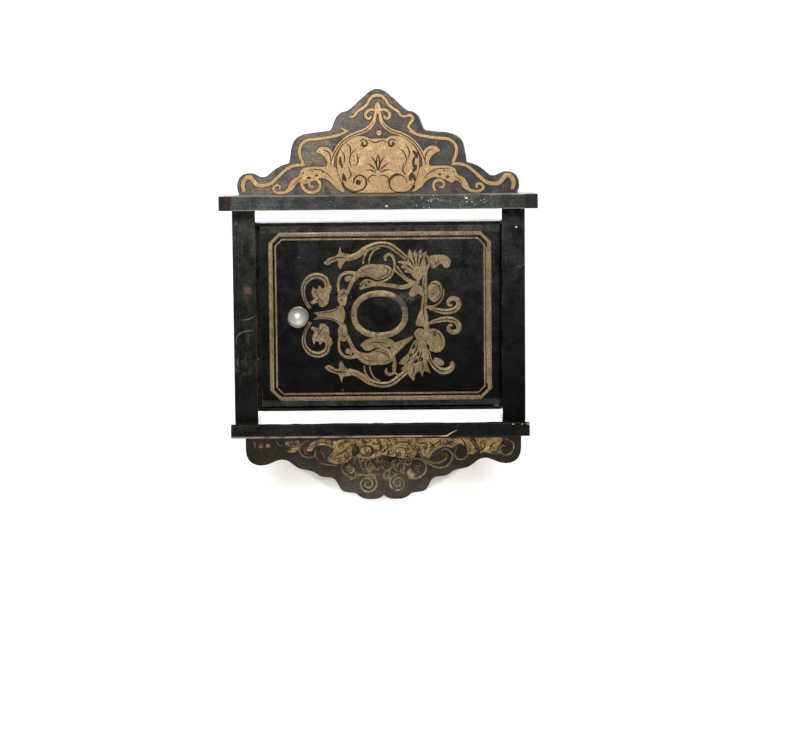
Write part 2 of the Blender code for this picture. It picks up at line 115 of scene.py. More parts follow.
class Shader:
    """Short ways to add and join shader nodes in one new material."""

    def __init__(self, name):
        self.material = bpy.data.materials.new(name)
        self.material.use_nodes = True
        self.tree = self.material.node_tree
        self.main = self.tree.nodes["Principled BSDF"]
        self.place = self.tree.nodes.new("ShaderNodeTexCoord").outputs["Object"]

    def node(self, kind, **inputs):
        """A node with its inputs set or joined; a set_ prefix marks a setting of its own."""
        made = self.tree.nodes.new("ShaderNode" + kind)
        for key, value in inputs.items():
            if key.startswith("set_"):
                setattr(made, key[4:], value)
        for key, value in inputs.items():
            if not key.startswith("set_"):
                self.feed(made.inputs[key.replace("_", " ")], value)
        return made

    def feed(self, socket, value):
        if isinstance(value, bpy.types.NodeSocket):
            self.tree.links.new(value, socket)
        elif isinstance(value, tuple) and len(value) == 3 and socket.type == "RGBA":
            socket.default_value = (*value, 1)
        else:
            socket.default_value = value

    def math(self, operation, first, second=0.0):
        made = self.tree.nodes.new("ShaderNodeMath")
        made.operation = operation
        self.feed(made.inputs[0], first)
        self.feed(made.inputs[1], second)
        return made.outputs[0]

    def times(self, first, second):
        return self.math("MULTIPLY", first, second)

    def plus(self, first, second):
        return self.math("ADD", first, second)

    def minus(self, first, second):
        return self.math("SUBTRACT", first, second)

    def along(self, axis):
        """Where a point lies along an axis of the object, in metres."""
        return self.node("SeparateXYZ", Vector=self.place).outputs[axis]

    def span(self, value, low, high, to_low=0.0, to_high=1.0):
        """The value mapped smoothly from one range to another, and held there."""
        made = self.tree.nodes.new("ShaderNodeMapRange")
        made.interpolation_type = "SMOOTHSTEP"
        for index, item in enumerate((value, low, high, to_low, to_high)):
            self.feed(made.inputs[index], item)
        return made.outputs[0]

    def mix(self, amount, first, second):
        made = self.tree.nodes.new("ShaderNodeMix")
        made.data_type = "RGBA"
        self.feed(made.inputs["Factor"], amount)
        for socket, value in zip((made.inputs[6], made.inputs[7]), (first, second)):
            self.feed(socket, value)
        return made.outputs[2]

    def stretched(self, scale, shift=(0, 0, 0)):
        made = self.tree.nodes.new("ShaderNodeMapping")
        self.tree.links.new(self.place, made.inputs["Vector"])
        made.inputs["Scale"].default_value = scale
        made.inputs["Location"].default_value = shift
        return made.outputs[0]

    def noise(self, scale, detail=3.0, roughness=0.55, vector=None, distortion=0.0):
        made = self.node("TexNoise", Scale=scale, Detail=detail, Roughness=roughness)
        made.inputs["Distortion"].default_value = distortion
        self.tree.links.new(vector or self.place, made.inputs["Vector"])
        return made.outputs["Fac"]

    def spread(self, noise, low, high):
        """A noise's values spread over a range."""
        return self.span(noise, NOISE_LOW, NOISE_HIGH, low, high)

    def likeness(self, direction):
        """How nearly the surface's normal points along a direction: 1 if it does."""
        dot = self.node("VectorMath", set_operation="DOT_PRODUCT")
        self.feed(dot.inputs[0], direction)
        self.feed(dot.inputs[1], self.node("NewGeometry").outputs["Normal"])
        return dot.outputs["Value"]

    def edge(self, radius):
        """1 on an arris, 0 on a flat face."""
        bevel = self.node("Bevel", Radius=radius, set_samples=EDGE_SAMPLES)
        return self.span(self.likeness(bevel.outputs[0]), FLAT, ROUND)

    def bump(self, height, strength, distance=0.0003):
        made = self.node("Bump", Strength=strength, Distance=distance, Height=height)
        self.tree.links.new(made.outputs[0], self.main.inputs["Normal"])

    def finish(self, colour, roughness, metallic=0.0, coat=0.0, coat_roughness=0.2):
        values = {
            "Base Color": colour,
            "Roughness": roughness,
            "Metallic": metallic,
            "Coat Weight": coat,
            "Coat Roughness": coat_roughness,
        }
        for key, value in values.items():
            self.feed(self.main.inputs[key], value)
        return self.material


def speckle(shader, scale, size, density):
    """Sparse small dots, 1 inside a dot."""
    cells = shader.node("TexVoronoi", Scale=scale, set_feature="F1")
    shader.tree.links.new(shader.place, cells.inputs["Vector"])
    dot = shader.span(cells.outputs["Distance"], size, size * 0.5)
    chance = shader.node("SeparateColor", Color=cells.outputs["Color"]).outputs[0]
    chosen = shader.math("LESS_THAN", chance, density)
    return shader.times(dot, chosen)


def patch(shader, x, z, half_x, half_z, ragged=0.5):
    """A ragged round patch about a point of an upright face, 1 at its middle."""
    across = shader.times(shader.minus(shader.along("X"), x * MM), 1 / (half_x * MM))
    upward = shader.times(shader.minus(shader.along("Z"), z * MM), 1 / (half_z * MM))
    far = shader.plus(shader.math("POWER", across, 2.0), shader.math("POWER", upward, 2.0))
    wander = shader.spread(shader.noise(150.0, 5.0, 0.7), -ragged, ragged)
    far = shader.plus(shader.math("SQRT", far), wander)
    return shader.span(far, 1.0, 0.55)


def along_axis(shader, axis, start, end, most):
    """A value that rises from 0 to most as an upright face is followed along an axis, in mm."""
    return shader.span(shader.along(axis), start * MM, end * MM, 0.0, most)


# Painted light: how much more bloom each board gets by place, paler where more light reaches it

def shelf_painted_light(shader):
    # painted light: the top shelf paler towards the left
    return along_axis(shader, "X", 0, -130, 0.22)


def bottom_painted_light(shader):
    # painted light: the bottom shelf paler towards the left
    return along_axis(shader, "X", 40, -110, 0.12)


def stile_painted_light(shader):
    # painted light: the stiles paler towards the top
    return along_axis(shader, "Z", 50, 105, 0.45)


def crest_painted_light(shader):
    # painted light: the crest paler towards the left and towards the apex
    return shader.plus(along_axis(shader, "X", 70, -60, 0.34), along_axis(shader, "Z", 185, 232, 0.45))


def shelf_marks(shader, colour):
    """Pale flecks and two bright spots on the right half of the top shelf's front."""
    region = shader.times(along_axis(shader, "X", 25, 50, 1.0), along_axis(shader, "X", 118, 105, 1.0))
    smears = shader.span(shader.noise(170.0, 5.0, 0.72, shader.stretched((0.45, 1, 1))), 0.56, 0.66)
    dots = speckle(shader, 420.0, 0.26, 0.35)
    colour = shader.mix(shader.times(region, shader.times(smears, 0.35)), colour, SPECK)
    colour = shader.mix(shader.times(region, dots), colour, PALE_FLECK_AND_GLINT)
    for x, z in ((8.5, 112.0), (87.7, 119.4)):
        colour = shader.mix(patch(shader, x, z, 1.3, 1.1, 0.1), colour, PALE_FLECK_AND_GLINT)
    return colour


def stile_marks(shader, colour):
    """The left stile's brown scuffs, its rubbed stretch, and a pale and a reddish spot."""
    scuffs = shader.noise(46.0, 5.0, 0.66, shader.stretched((1, 1, 0.35)))
    colour = shader.mix(shader.span(scuffs, 0.55, 0.66, 0.0, 0.85), colour, (0.045, 0.030, 0.018))
    low = shader.times(along_axis(shader, "Z", 0, -25, 1.0), along_axis(shader, "Z", -75, -55, 1.0))
    rubbed = shader.noise(130.0, 6.0, 0.75, shader.stretched((1, 1, 0.7)))
    rubbed = shader.span(rubbed, 0.50, 0.64, 0.0, 0.7)
    colour = shader.mix(shader.times(low, rubbed), colour, (0.060, 0.047, 0.034))
    colour = shader.mix(patch(shader, -143.6, 95.7, 1.6, 3.0, 0.5), colour, (0.10, 0.095, 0.08))
    return shader.mix(patch(shader, -133.8, 27.8, 4.4, 4.0, 0.8), colour, (0.125, 0.068, 0.050))


def right_stile_marks(shader, colour):
    """One pale speck near the top of the right stile, and a cooler cloud below it."""
    cloud = shader.span(shader.noise(38.0, 5.0, 0.6), 0.52, 0.66, 0.0, 0.6)
    colour = shader.mix(cloud, colour, (0.003, 0.003, 0.005))
    return shader.mix(patch(shader, 138.9, 89.3, 1.1, 1.0, 0.1), colour, PALE_FLECK_AND_GLINT)


def ring_marks(shader, colour):
    """The part of the oval ring where the gilding is rubbed to a grey stain."""
    return shader.mix(shader.times(patch(shader, *RING_LOSS), 0.95), colour, (0.050, 0.048, 0.044))


def scroll_marks(shader, colour):
    """A spot by the ring where the gilding's red ground shows."""
    return shader.mix(patch(shader, 30.6, 22.6, 2.3, 2.3, 0.2), colour, (0.50, 0.17, 0.08))


def top_shelf_marks(shader, colour):
    """Flecks and dark, handled ends on the front, and pale dust that lies on the top."""
    marked = shelf_marks(shader, colour)
    ends = shader.span(shader.math("ABSOLUTE", shader.along("X")), 144.5 * MM, 149 * MM, 0.0, 0.85)
    stain = shader.span(shader.noise(120.0, 3.0), 0.50, 0.66)
    marked = shader.mix(ends, marked, shader.mix(stain, (0.007, 0.007, 0.007), (0.022, 0.015, 0.012)))
    for x, z in ((-151.5, 120.0), (-151.8, 113.0)):
        marked = shader.mix(patch(shader, x, z, 2.2, 2.4, 0.7), marked, (0.050, 0.024, 0.018))
    colour = shader.mix(facing(shader, (0, -1, 0)), colour, marked)
    return shader.mix(shader.times(facing(shader, (0, 0, 1)), 0.30), colour, DUST)


def bottom_shelf_marks(shader, colour):
    """The lower front arris worn pale along the left three quarters, two painted highlights on the
    upper front arris, and the rubbed upper corner at the right."""
    low = along_axis(shader, "Z", -118.3, -119.0, 1.0)
    left = shader.times(along_axis(shader, "X", 68, 65, 1.0), low)
    worn = shader.times(left, shader.span(shader.noise(90.0, 4.0), 0.35, 0.55, 0.25, 0.9))
    colour = shader.mix(worn, colour, (0.36, 0.26, 0.19))
    # painted highlights: two glints on the bottom shelf's upper front arris
    for x, half in ((133.7, 0.9), (142.6, 0.7)):
        colour = shader.mix(patch(shader, x, -108.2, half, 0.6, 0.1), colour, PALE_FLECK_AND_GLINT)
    return shader.mix(patch(shader, 149.5, -108.5, 4.0, 2.0, 0.6), colour, (0.38, 0.27, 0.20))


def crest_marks(shader, colour):
    """Blue-black paint that is less faded on the crest's right half, mauve on its left, dark
    blots, and an edge with painted shade at the left, and pale at the right, where its edge
    has chips and carries a painted highlight."""
    cloud = shader.noise(26.0, 4.0, 0.6, distortion=0.4)
    dark = shader.times(shader.span(cloud, 0.42, 0.58, 0.25, 0.9), along_axis(shader, "X", -35, 60, 1.0))
    colour = shader.mix(dark, colour, (0.052, 0.052, 0.064))
    mauve = shader.times(shader.span(cloud, 0.55, 0.42, 0.0, 0.6), along_axis(shader, "X", 10, -60, 1.0))
    colour = shader.mix(mauve, colour, (0.175, 0.150, 0.155))
    blots = shader.span(shader.noise(70.0, 5.0, 0.7), 0.52, 0.64, 0.0, 0.7)
    colour = shader.mix(blots, colour, (0.045, 0.048, 0.046))
    edge = shader.edge(3.2 * MM)
    # painted shade: the edge darkened along the left side
    edge_shade = shader.times(edge, along_axis(shader, "X", 0, -40, 0.75))
    colour = shader.mix(edge_shade, colour, (0.020, 0.018, 0.018))
    # the pale edge at the right: partly chips, partly a painted highlight
    chips_and_glint = shader.span(shader.noise(85.0, 5.0), 0.45, 0.55)
    chips_and_glint = shader.times(chips_and_glint, along_axis(shader, "X", 15, 45, 0.9))
    return shader.mix(shader.times(edge, chips_and_glint), colour, (0.62, 0.58, 0.50))


def door_marks(shader, colour):
    """Deep black inside the oval ring, where hands have kept it clean."""
    inside = patch(shader, DOOR_ORNAMENT_X, DOOR_ORNAMENT_Z, 17, 14, 0.3)
    return shader.mix(shader.times(inside, 0.8), colour, (0.0005, 0.0005, 0.0005))


def door_dust(shader):
    """The door's dusty top and bottom margins, and on its front the smear where the ring is rubbed."""
    far = shader.math("ABSOLUTE", shader.minus(shader.along("Z"), BORDER_Z * MM))
    margin = shader.span(far, (BORDER_HALF_Z - 2) * MM, (BORDER_HALF_Z + 1) * MM, 0.0, 0.75)
    front = along_axis(shader, "Y", DOOR_FRONT_FROM, DOOR_FRONT, 1.3)
    return shader.plus(margin, shader.times(patch(shader, *RING_SMEAR), front))


def lacquer(name, dark, pale, grain, amount, wear, shade_fall=0.0, specks=0.035, brown=RUBBED, sheen=0.24,
        arris=1.1, gloss=None, dust=None, marks=None):
    """Ebonised wood: black under a dusty bloom that gathers in clouds and along the grain,
    brown where the arrises are rubbed, scuffed through in spots, with a few pale specks.
    On the stiles and the door the bloom thins towards the bottom, a painted shade; the dust
    function thickens it by place, painted light on the shelves, stiles and crest, real dust on the door."""
    shader = Shader(name)
    along = tuple(9.0 if axis == grain else 160.0 for axis in range(3))
    streaks = shader.noise(4.0, 4.0, 0.6, shader.stretched(along))
    clouds = shader.noise(55.0, 6.0, 0.66, distortion=0.5)
    broad = shader.noise(9.0, 2.0, 0.5)
    grit = shader.noise(520.0, 3.0, 0.6)
    bloom = shader.span(clouds, 0.32, 0.70, 0.28, 0.95)
    for cause, least, most in ((broad, 0.6, 1.2), (streaks, 0.7, 1.15), (grit, 0.5, 1.4)):
        bloom = shader.times(bloom, shader.spread(cause, least, most))
    # Painted shade: on the stiles and the door the bloom thins towards the bottom, so they darken there; the
    # dust function adds painted light on the shelves, the stiles and the crest, and real dust on the door.
    lift = shader.span(shader.along("Z"), SHADE_FALL_LOW, SHADE_FALL_HIGH, (1.0 - shade_fall) * amount, amount)
    if dust:
        lift = shader.plus(lift, dust(shader))
    colour = shader.mix(shader.times(bloom, lift), dark, pale)
    worn = shader.span(shader.noise(70.0, 4.0), 0.62 - 0.35 * wear, 0.66)
    rub = shader.times(shader.edge(arris * MM), worn)
    colour = shader.mix(rub, colour, brown)
    scuff = shader.noise(30.0, 6.0, 0.72, shader.stretched((1, 1, 1), (3.1, 0.7, 1.9)))
    scuff = shader.span(scuff, 0.67, 0.73)
    colour = shader.mix(shader.times(scuff, 0.6 * wear), colour, SCUFFED)
    dots = speckle(shader, 210.0, 0.11, specks)
    colour = shader.mix(shader.times(dots, 0.7), colour, SPECK)
    if marks:
        colour = marks(shader, colour)
    rough = shader.plus(shader.span(clouds, 0.3, 0.75, sheen, sheen + 0.12), shader.times(rub, 0.2))
    relief = shader.plus(streaks, shader.times(grit, 0.4))
    shader.bump(relief, 0.12)
    specular, coat = SPECULAR, 0.0
    if gloss:
        turned, kept = gloss(shader)
        coat = shader.times(turned, kept)
        bare = shader.times(turned, shader.minus(1.0, kept))
        colour = shader.mix(shader.times(bare, 0.6), colour, SCUFFED)
        specular = shader.span(turned, 0.0, 1.0, SPECULAR, 0.0)
    shader.feed(shader.main.inputs["Specular IOR Level"], specular)
    return shader.finish(colour, rough, coat=coat, coat_roughness=POLISH_ROUGHNESS)


def facing(shader, direction):
    """1 on faces that look along the direction. It holds only for parts that don't turn."""
    return shader.span(shader.likeness(direction), FACING_FROM, FACING)


def polished(direction, front, back):
    """Polish kept at the back of the faces that look along the direction, and worn off ahead of it."""
    def weight(shader):
        ragged = shader.plus(shader.along("Y"), shader.spread(shader.noise(60.0, 4.0), -RAGGED, RAGGED))
        return facing(shader, direction), shader.span(ragged, front * MM, back * MM)
    return weight


def gilding(name, pale, deep, worn, wear, marks=None):
    """Old gilding: two golds in drifts, rubbed thin in spots down to the dark ground."""
    shader = Shader(name)
    drift = shader.noise(60.0, 4.0, 0.6, distortion=0.4)
    grain = shader.noise(620.0, 4.0, 0.65)
    flakes = shader.noise(150.0, 3.0, 0.6)
    colour = shader.mix(shader.span(drift, 0.35, 0.65), deep, pale)
    bright = tuple(1.5 * level for level in pale)
    colour = shader.mix(shader.span(flakes, 0.52, 0.70, 0.0, 0.55), colour, bright)
    mottle = shader.span(grain, 0.36, 0.66, 0.0, 0.8)
    colour = shader.mix(mottle, colour, worn)
    lost = shader.noise(170.0, 5.0, 0.70)
    lost = shader.span(lost, 0.69 - 0.20 * wear, 0.77 - 0.20 * wear)
    colour = shader.mix(shader.times(lost, 0.85), colour, (0.030, 0.026, 0.020))
    if marks:
        colour = marks(shader, colour)
    shine = shader.times(shader.minus(1.0, lost), GILT_METAL)
    shader.bump(shader.plus(grain, shader.times(lost, -0.8)), 0.25, 0.00012)
    return shader.finish(colour, shader.spread(drift, 0.42, 0.6), metallic=shine)


def bare_wood(name, colour, dark, grain):
    """Unfinished old softwood: rings and fibres along the grain, darker in the pores."""
    shader = Shader(name)
    along = tuple(3.0 if axis == grain else 42.0 for axis in range(3))
    rings = shader.noise(2.2, 6.0, 0.6, shader.stretched(along), 1.2)
    fibres = shader.noise(9.0, 3.0, 0.6, shader.stretched(tuple(4 * x for x in along)))
    tone = shader.plus(rings, shader.times(fibres, 0.35))
    base = shader.mix(shader.span(tone, 0.5, 0.85), dark, colour)
    stain = shader.span(shader.noise(14.0, 4.0), 0.45, 0.8, 0.0, 0.5)
    base = shader.mix(stain, base, dark)
    shader.bump(tone, 0.3)
    return shader.finish(base, shader.spread(fibres, 0.68, 0.86))


def metal(name, colour, tarnish, rough_low, rough_high, cover=0.5):
    """Old metal: bright where it is handled, tarnished in drifts and along fine scratches."""
    shader = Shader(name)
    drift = shader.noise(METAL_SCALE, 5.0, 0.62, distortion=0.5)
    fine = shader.noise(METAL_SCALE * 7, 3.0)
    dull = shader.span(drift, 0.66 - 0.3 * cover, 0.84 - 0.3 * cover)
    base = shader.mix(dull, colour, tarnish)
    rough = shader.plus(shader.spread(drift, rough_low, rough_high), shader.times(fine, 0.05))
    shader.bump(shader.plus(fine, drift), 0.12, 0.0001)
    return shader.finish(base, rough, metallic=shader.minus(1.0, shader.times(dull, 0.35)))


# ---- drawing in relief

def between(t, a, b, c, d):
    """The value at t on the smooth curve from b to c, whose neighbours are a and d."""
    square, cube = 2 * a - 5 * b + 4 * c - d, 3 * b - a - 3 * c + d
    return 0.5 * (2 * b + (c - a) * t + square * t * t + cube * t ** 3)


def smooth_line(points, per_span=7):
    """A smooth line of (x, z) points through the given ones (Catmull-Rom)."""
    ends = [points[0]] + list(points) + [points[-1]]
    line = []
    for four in zip(ends, ends[1:], ends[2:], ends[3:]):
        for step in range(per_span):
            t = step / per_span
            line.append(tuple(between(t, *values) for values in zip(*four)))
    line.append(tuple(points[-1]))
    return line


def widths_along(widths, count):
    """The given widths spread evenly over a number of points."""
    spread = []
    for index in range(count):
        at = index / (count - 1) * (len(widths) - 1)
        low = min(int(at), len(widths) - 2)
        spread.append(widths[low] + (widths[low + 1] - widths[low]) * (at - low))
    return spread


def outset(outline, distance):
    """The closed outline with each point moved outward, or inward for a negative distance."""
    count = len(outline)
    turns = sum(outline[k - 1][0] * outline[k][1] - outline[k][0] * outline[k - 1][1] for k in range(count))
    reach = math.copysign(distance, turns * distance)
    moved = []
    for k in range(count):
        before, after = Vector(outline[k - 1]), Vector(outline[(k + 1) % count])
        along = (after - before).normalized()
        moved.append((outline[k][0] + along.y * reach, outline[k][1] - along.x * reach))
    return moved


class Relief:
    """Raised work on one upright face, drawn in millimetres from an origin on that face.
    With an under layer, each shape also gets a darker rim that shows round it."""

    def __init__(self, name, face_y, origin_x, origin_z, height, under=None, weight=1.0):
        self.name = name
        self.bm = bmesh.new()
        self.face_y = face_y
        self.origin = (origin_x, origin_z)
        self.height = height
        self.under = under
        self.weight = weight
        self.count = 0

    def step_height(self):
        """Neighbouring shapes differ a little in height, so that their tops never coincide."""
        self.count += 1
        return self.height + (self.count % LAYERS) * LAYER_STEP

    def point(self, x, z, lift):
        return self.bm.verts.new((self.origin[0] + x * MM, self.face_y - lift, self.origin[1] + z * MM))

    def stroke(self, points, widths, smooth=True, closed=False):
        """A ribbon with a crowned top along a line, as wide as the widths say."""
        if self.under:
            self.under.stroke(points, [width + 2 * RIM for width in widths], smooth, closed)
        height = self.step_height()
        line = smooth_line(points) if smooth else list(points)
        if closed:
            line = line[:-1]
        sizes = widths_along(widths, len(line)) if len(widths) > 1 else widths * len(line)
        sizes = [size * self.weight for size in sizes]
        rows = []
        for index, (x, z) in enumerate(line):
            before = line[index - 1] if index or closed else line[0]
            after = line[(index + 1) % len(line)] if closed or index + 1 < len(line) else line[-1]
            along = Vector((after[0] - before[0], after[1] - before[1]))
            across = Vector((-along.y, along.x)).normalized() * max(sizes[index], THINNEST) / 2
            profile = ((-1.0, -BED), (-SHOULDER, height * SHOULDER_HEIGHT), (0.0, height),
                (SHOULDER, height * SHOULDER_HEIGHT), (1.0, -BED))
            rows.append([self.point(x + across.x * side, z + across.y * side, lift) for side,
                lift in profile])
        pairs = list(zip(rows, rows[1:]))
        if closed:
            pairs.append((rows[-1], rows[0]))
        for first, second in pairs:
            count = len(first)
            for k in range(count):
                following = (k + 1) % count
                self.bm.faces.new((first[k], first[following], second[following], second[k]))
        if not closed:
            self.bm.faces.new(rows[0][::-1])
            self.bm.faces.new(rows[-1])

    def plaque(self, points, smooth=True):
        """A filled shape with a chamfered rim, its outline smooth through the points."""
        outline = smooth_line([*points, points[0]], 5)[:-1] if smooth else points
        if self.under:
            self.under.plaque(outset(outline, RIM), False)
        height = self.step_height()
        bottom = [self.point(x, z, -BED) for x, z in outline]
        top = [self.point(x, z, height) for x, z in outset(outline, -CHAMFER)]
        for k in range(len(outline)):
            following = (k + 1) % len(outline)
            self.bm.faces.new((bottom[k], bottom[following], top[following], top[k]))
        self.bm.faces.new(top)
        self.bm.faces.new(bottom[::-1])

    def spiral(self, centre, radius, turns, start, widths, inner=0.18, points=26):
        """A scroll that winds in from its rim; negative turns wind clockwise."""
        line = []
        for k in range(points):
            t = k / (points - 1)
            reach = radius * (1 - (1 - inner) * t)
            angle = math.radians(start) + turns * math.tau * t
            line.append((centre[0] + reach * math.cos(angle), centre[1] + reach * math.sin(angle)))
        self.stroke(line, widths, smooth=False)

    def disc(self, centre, radius, squash=1.0, sides=18):
        around = [math.tau * k / sides for k in range(sides)]
        self.plaque([(centre[0] + radius * math.cos(a),
            centre[1] + radius * squash * math.sin(a)) for a in around], False)

    def leaf(self, root, tip, width, bend=0.0):
        """A pointed leaf from root to tip, bowed sideways by bend."""
        along = Vector((tip[0] - root[0], tip[1] - root[1]))
        side = Vector((-along.y, along.x)) * bend
        middle = (root[0] + along.x * 0.5 + side.x, root[1] + along.y * 0.5 + side.y)
        self.stroke([root, middle, tip], [width * 0.35, width * 0.8, width, width * 0.75, 0.15])

    def finish(self, material, body):
        """Makes the piece, which rides on the body."""
        bmesh.ops.recalc_face_normals(self.bm, faces=self.bm.faces)
        mesh = bpy.data.meshes.new(self.name)
        self.bm.to_mesh(mesh)
        self.bm.free()
        obj = bpy.data.objects.new(self.name, mesh)
        bpy.context.scene.collection.objects.link(obj)
        mesh.materials.append(material)
        mesh.shade_smooth()
        mesh.set_sharp_from_angle(angle=math.radians(SHARP_ANGLE))
        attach(obj, body)


def mirror_x(points):
    return [(-x, z) for x, z in points]


def mirror_z(points):
    return [(x, 2 * FOLD_Z - z) for x, z in points]


# ---- boards

def paint(nodes, material):
    for node in nodes:
        obj = frame["nodes"][node]
        obj.data.materials.clear()
        obj.data.materials.append(material)


def soften(node, width):
    """Rubs down a board's arrises without changing its mesh."""
    bevel = frame["nodes"][node].modifiers.new("arris", "BEVEL")
    bevel.width = width * MM
    bevel.segments = ARRIS_SEGMENTS
    bevel.limit_method = "ANGLE"
    bevel.angle_limit = math.radians(ARRIS_ANGLE)
    bevel.harden_normals = True


def paint_boards():
    """Each board's own mix of black, bloom and wear, with painted shade that darkens the stiles
    and the door towards the bottom, and painted light that makes the shelves and the crest
    paler towards the left and the stiles and the crest paler towards the top.
    """
    black, grey, warm = (0.0012, 0.0014, 0.0010), (0.075, 0.077, 0.070), (0.085, 0.070, 0.052)
    paint(["top_shelf"], lacquer("lacquer_top_shelf", (0.010, 0.012, 0.010), (0.16, 0.16, 0.14), ALONG_X,
        amount=0.60, wear=1.1, specks=0.09, brown=PALE_WOOD, sheen=0.34, arris=2.4, dust=shelf_painted_light,
        marks=top_shelf_marks))
    paint(["bottom_shelf"], lacquer("lacquer_bottom_shelf", black, grey, ALONG_X, amount=0.13, wear=1.0,
        specks=0.02, gloss=polished((0, 0, 1), -76, -70), dust=bottom_painted_light, marks=bottom_shelf_marks))
    paint(["left_stile"], lacquer("lacquer_left_stile", black, grey, ALONG_Z, amount=0.74, wear=1.0,
        shade_fall=0.80, gloss=polished((1, 0, 0), -61, -57), dust=stile_painted_light, marks=stile_marks))
    paint(["right_stile"], lacquer("lacquer_right_stile", black, (0.066, 0.073, 0.075), ALONG_Z, amount=0.36,
        wear=0.4, shade_fall=0.92, gloss=polished((-1, 0, 0), -61, -57), dust=stile_painted_light, marks=right_stile_marks))
    paint(["door_panel"], lacquer("lacquer_door", black, grey, ALONG_X, amount=0.37, wear=0.5, shade_fall=0.92,
        dust=door_dust, marks=door_marks))
    paint(["crest_board"], lacquer("lacquer_crest", (0.070, 0.060, 0.056), (0.34, 0.29, 0.21), ALONG_X,
        amount=0.52, wear=0.9, specks=0.05, brown=PALE_WOOD, sheen=0.36, arris=2.2, dust=crest_painted_light,
        marks=crest_marks))
    paint(["apron_board"], lacquer("lacquer_apron", (0.030, 0.026, 0.021), (0.115, 0.095, 0.07), ALONG_X,
        amount=0.8, wear=0.8, sheen=0.36, gloss=polished((0, 0, 1), -100, -90)))
    box = ["box_top_board", "box_bottom_board", "box_left_side", "box_right_side"]
    paint(box, lacquer("lacquer_box", black, warm, ALONG_X, amount=0.25, wear=0.3))
    paint(["box_back_panel"], bare_wood("old_pine", (0.46, 0.29, 0.15), (0.20, 0.105, 0.048), ALONG_X))
    dowels = [name for name in frame["nodes"] if name.startswith("dowel")]
    paint(dowels, bare_wood("dowel_beech", (0.42, 0.28, 0.16), (0.22, 0.13, 0.06), ALONG_Z))
    widths = {"top_shelf": 0.9, "bottom_shelf": 0.9, "left_stile": 0.5, "right_stile": 0.5, "door_panel": 0.5,
        "crest_board": 0.7, "apron_board": 0.7}
    for node, width in widths.items():
        soften(node, width)


def paint_metal():
    """Brass for the fittings, rusted iron for the screws and dull brass for the knob's rose."""
    brass = metal("old_brass", (0.44, 0.31, 0.14), (0.16, 0.10, 0.05), 0.34, 0.55)
    iron = metal("screw_iron", (0.22, 0.20, 0.18), (0.11, 0.055, 0.030), 0.4, 0.7, cover=0.8)
    slots = {entry["node"]: entry["material_slot"] for entry in frame["record"]["subparts"]}
    paint([node for node, slot in slots.items() if slot == "brass"], brass)
    paint([node for node, slot in slots.items() if slot == "screw_iron"], iron)
    paint(["knob_rose"], metal("dull_brass", (0.26, 0.20, 0.13), (0.13, 0.09, 0.06), 0.5, 0.65))


def plated_knob_material():
    """Silvery plating worn through to brass round the shoulder of the ball."""
    shader = Shader("worn_plating")
    drift = shader.noise(170.0, 4.0, 0.6, distortion=0.5)
    wear = shader.span(drift, 0.57, 0.66)
    colour = shader.mix(wear, (0.62, 0.62, 0.55), (0.40, 0.32, 0.22))
    rough = shader.spread(drift, 0.38, 0.50)
    shader.bump(shader.noise(700.0, 3.0), 0.05, 0.0001)
    return shader.finish(colour, rough, metallic=0.6)


# ---- gilding on the door

def both_halves(relief, points, widths):
    """A ribbon and its mirror image below the ornament's long axis."""
    relief.stroke(points, widths)
    relief.stroke(mirror_z(points), widths)


def fill_both(relief, points):
    relief.plaque(points)
    relief.plaque(mirror_z(points))


def oval(half_x, half_z, centre=(0, 0), count=40, square=2.2):
    """Points round a slightly squared oval."""
    line = []
    for k in range(count + 1):
        c, s = math.cos(math.tau * k / count), math.sin(math.tau * k / count)
        reach = (abs(c) ** square + abs(s) ** square) ** (-1 / square)
        line.append((centre[0] + half_x * reach * c, centre[1] + half_z * reach * s))
    return line


def draw_left_scrolls(gold, ink):
    """The pair of C scrolls by the knob, each with a leaf inside, and the wedge between them."""
    curl = [(-70.5, 6), (-76.5, 17), (-77, 29), (-70.5, 37.3), (-62, 39.2), (-54.8, 35.5), (-53, 28.5),
        (-56, 25)]
    both_halves(gold, curl, [3.4, 3.4, 4.6, 6, 6.2, 6.2, 5, 3])
    both_halves(ink, curl[:-1], [0.5, 0.8, 1.1, 1.2, 1.2, 1.0, 0.5])
    leaf = [(-67.5, 29), (-63.5, 25.5), (-61, 29.5), (-57.5, 26), (-52.8, 24.5), (-51, 17), (-53, 10.5),
        (-57, 7.6), (-60.5, 8), (-63, 12), (-68, 10.5), (-70.5, 12.5), (-67, 16), (-69, 22)]
    fill_both(gold, leaf)
    both_halves(gold, [(-52.5, 22), (-50.8, 27), (-53.5, 31)], [5, 5, 4.5])
    both_halves(ink, [(-65, 24), (-61.5, 17), (-57, 11)], [0.4, 1.1, 0.6])
    both_halves(ink, [(-64.5, 13.5), (-62.5, 15), (-61.5, 12)], [0.5, 1.2, 0.5])
    gold.plaque([(-68, 2), (-60, 3), (-50, 4.5), (-44, 6.5), (-39.5, 10), (-36, 5), (-35, -1), (-36.5, -7),
        (-40, -12), (-44, -8), (-50, -5.5), (-60, -4.5), (-68, -5.5), (-63, -1.5)])
    both_halves(ink, [(-63, 1.2), (-55, 2), (-47, 3.4), (-41, 7.2)], [0.4, 0.9, 1.0, 0.5])


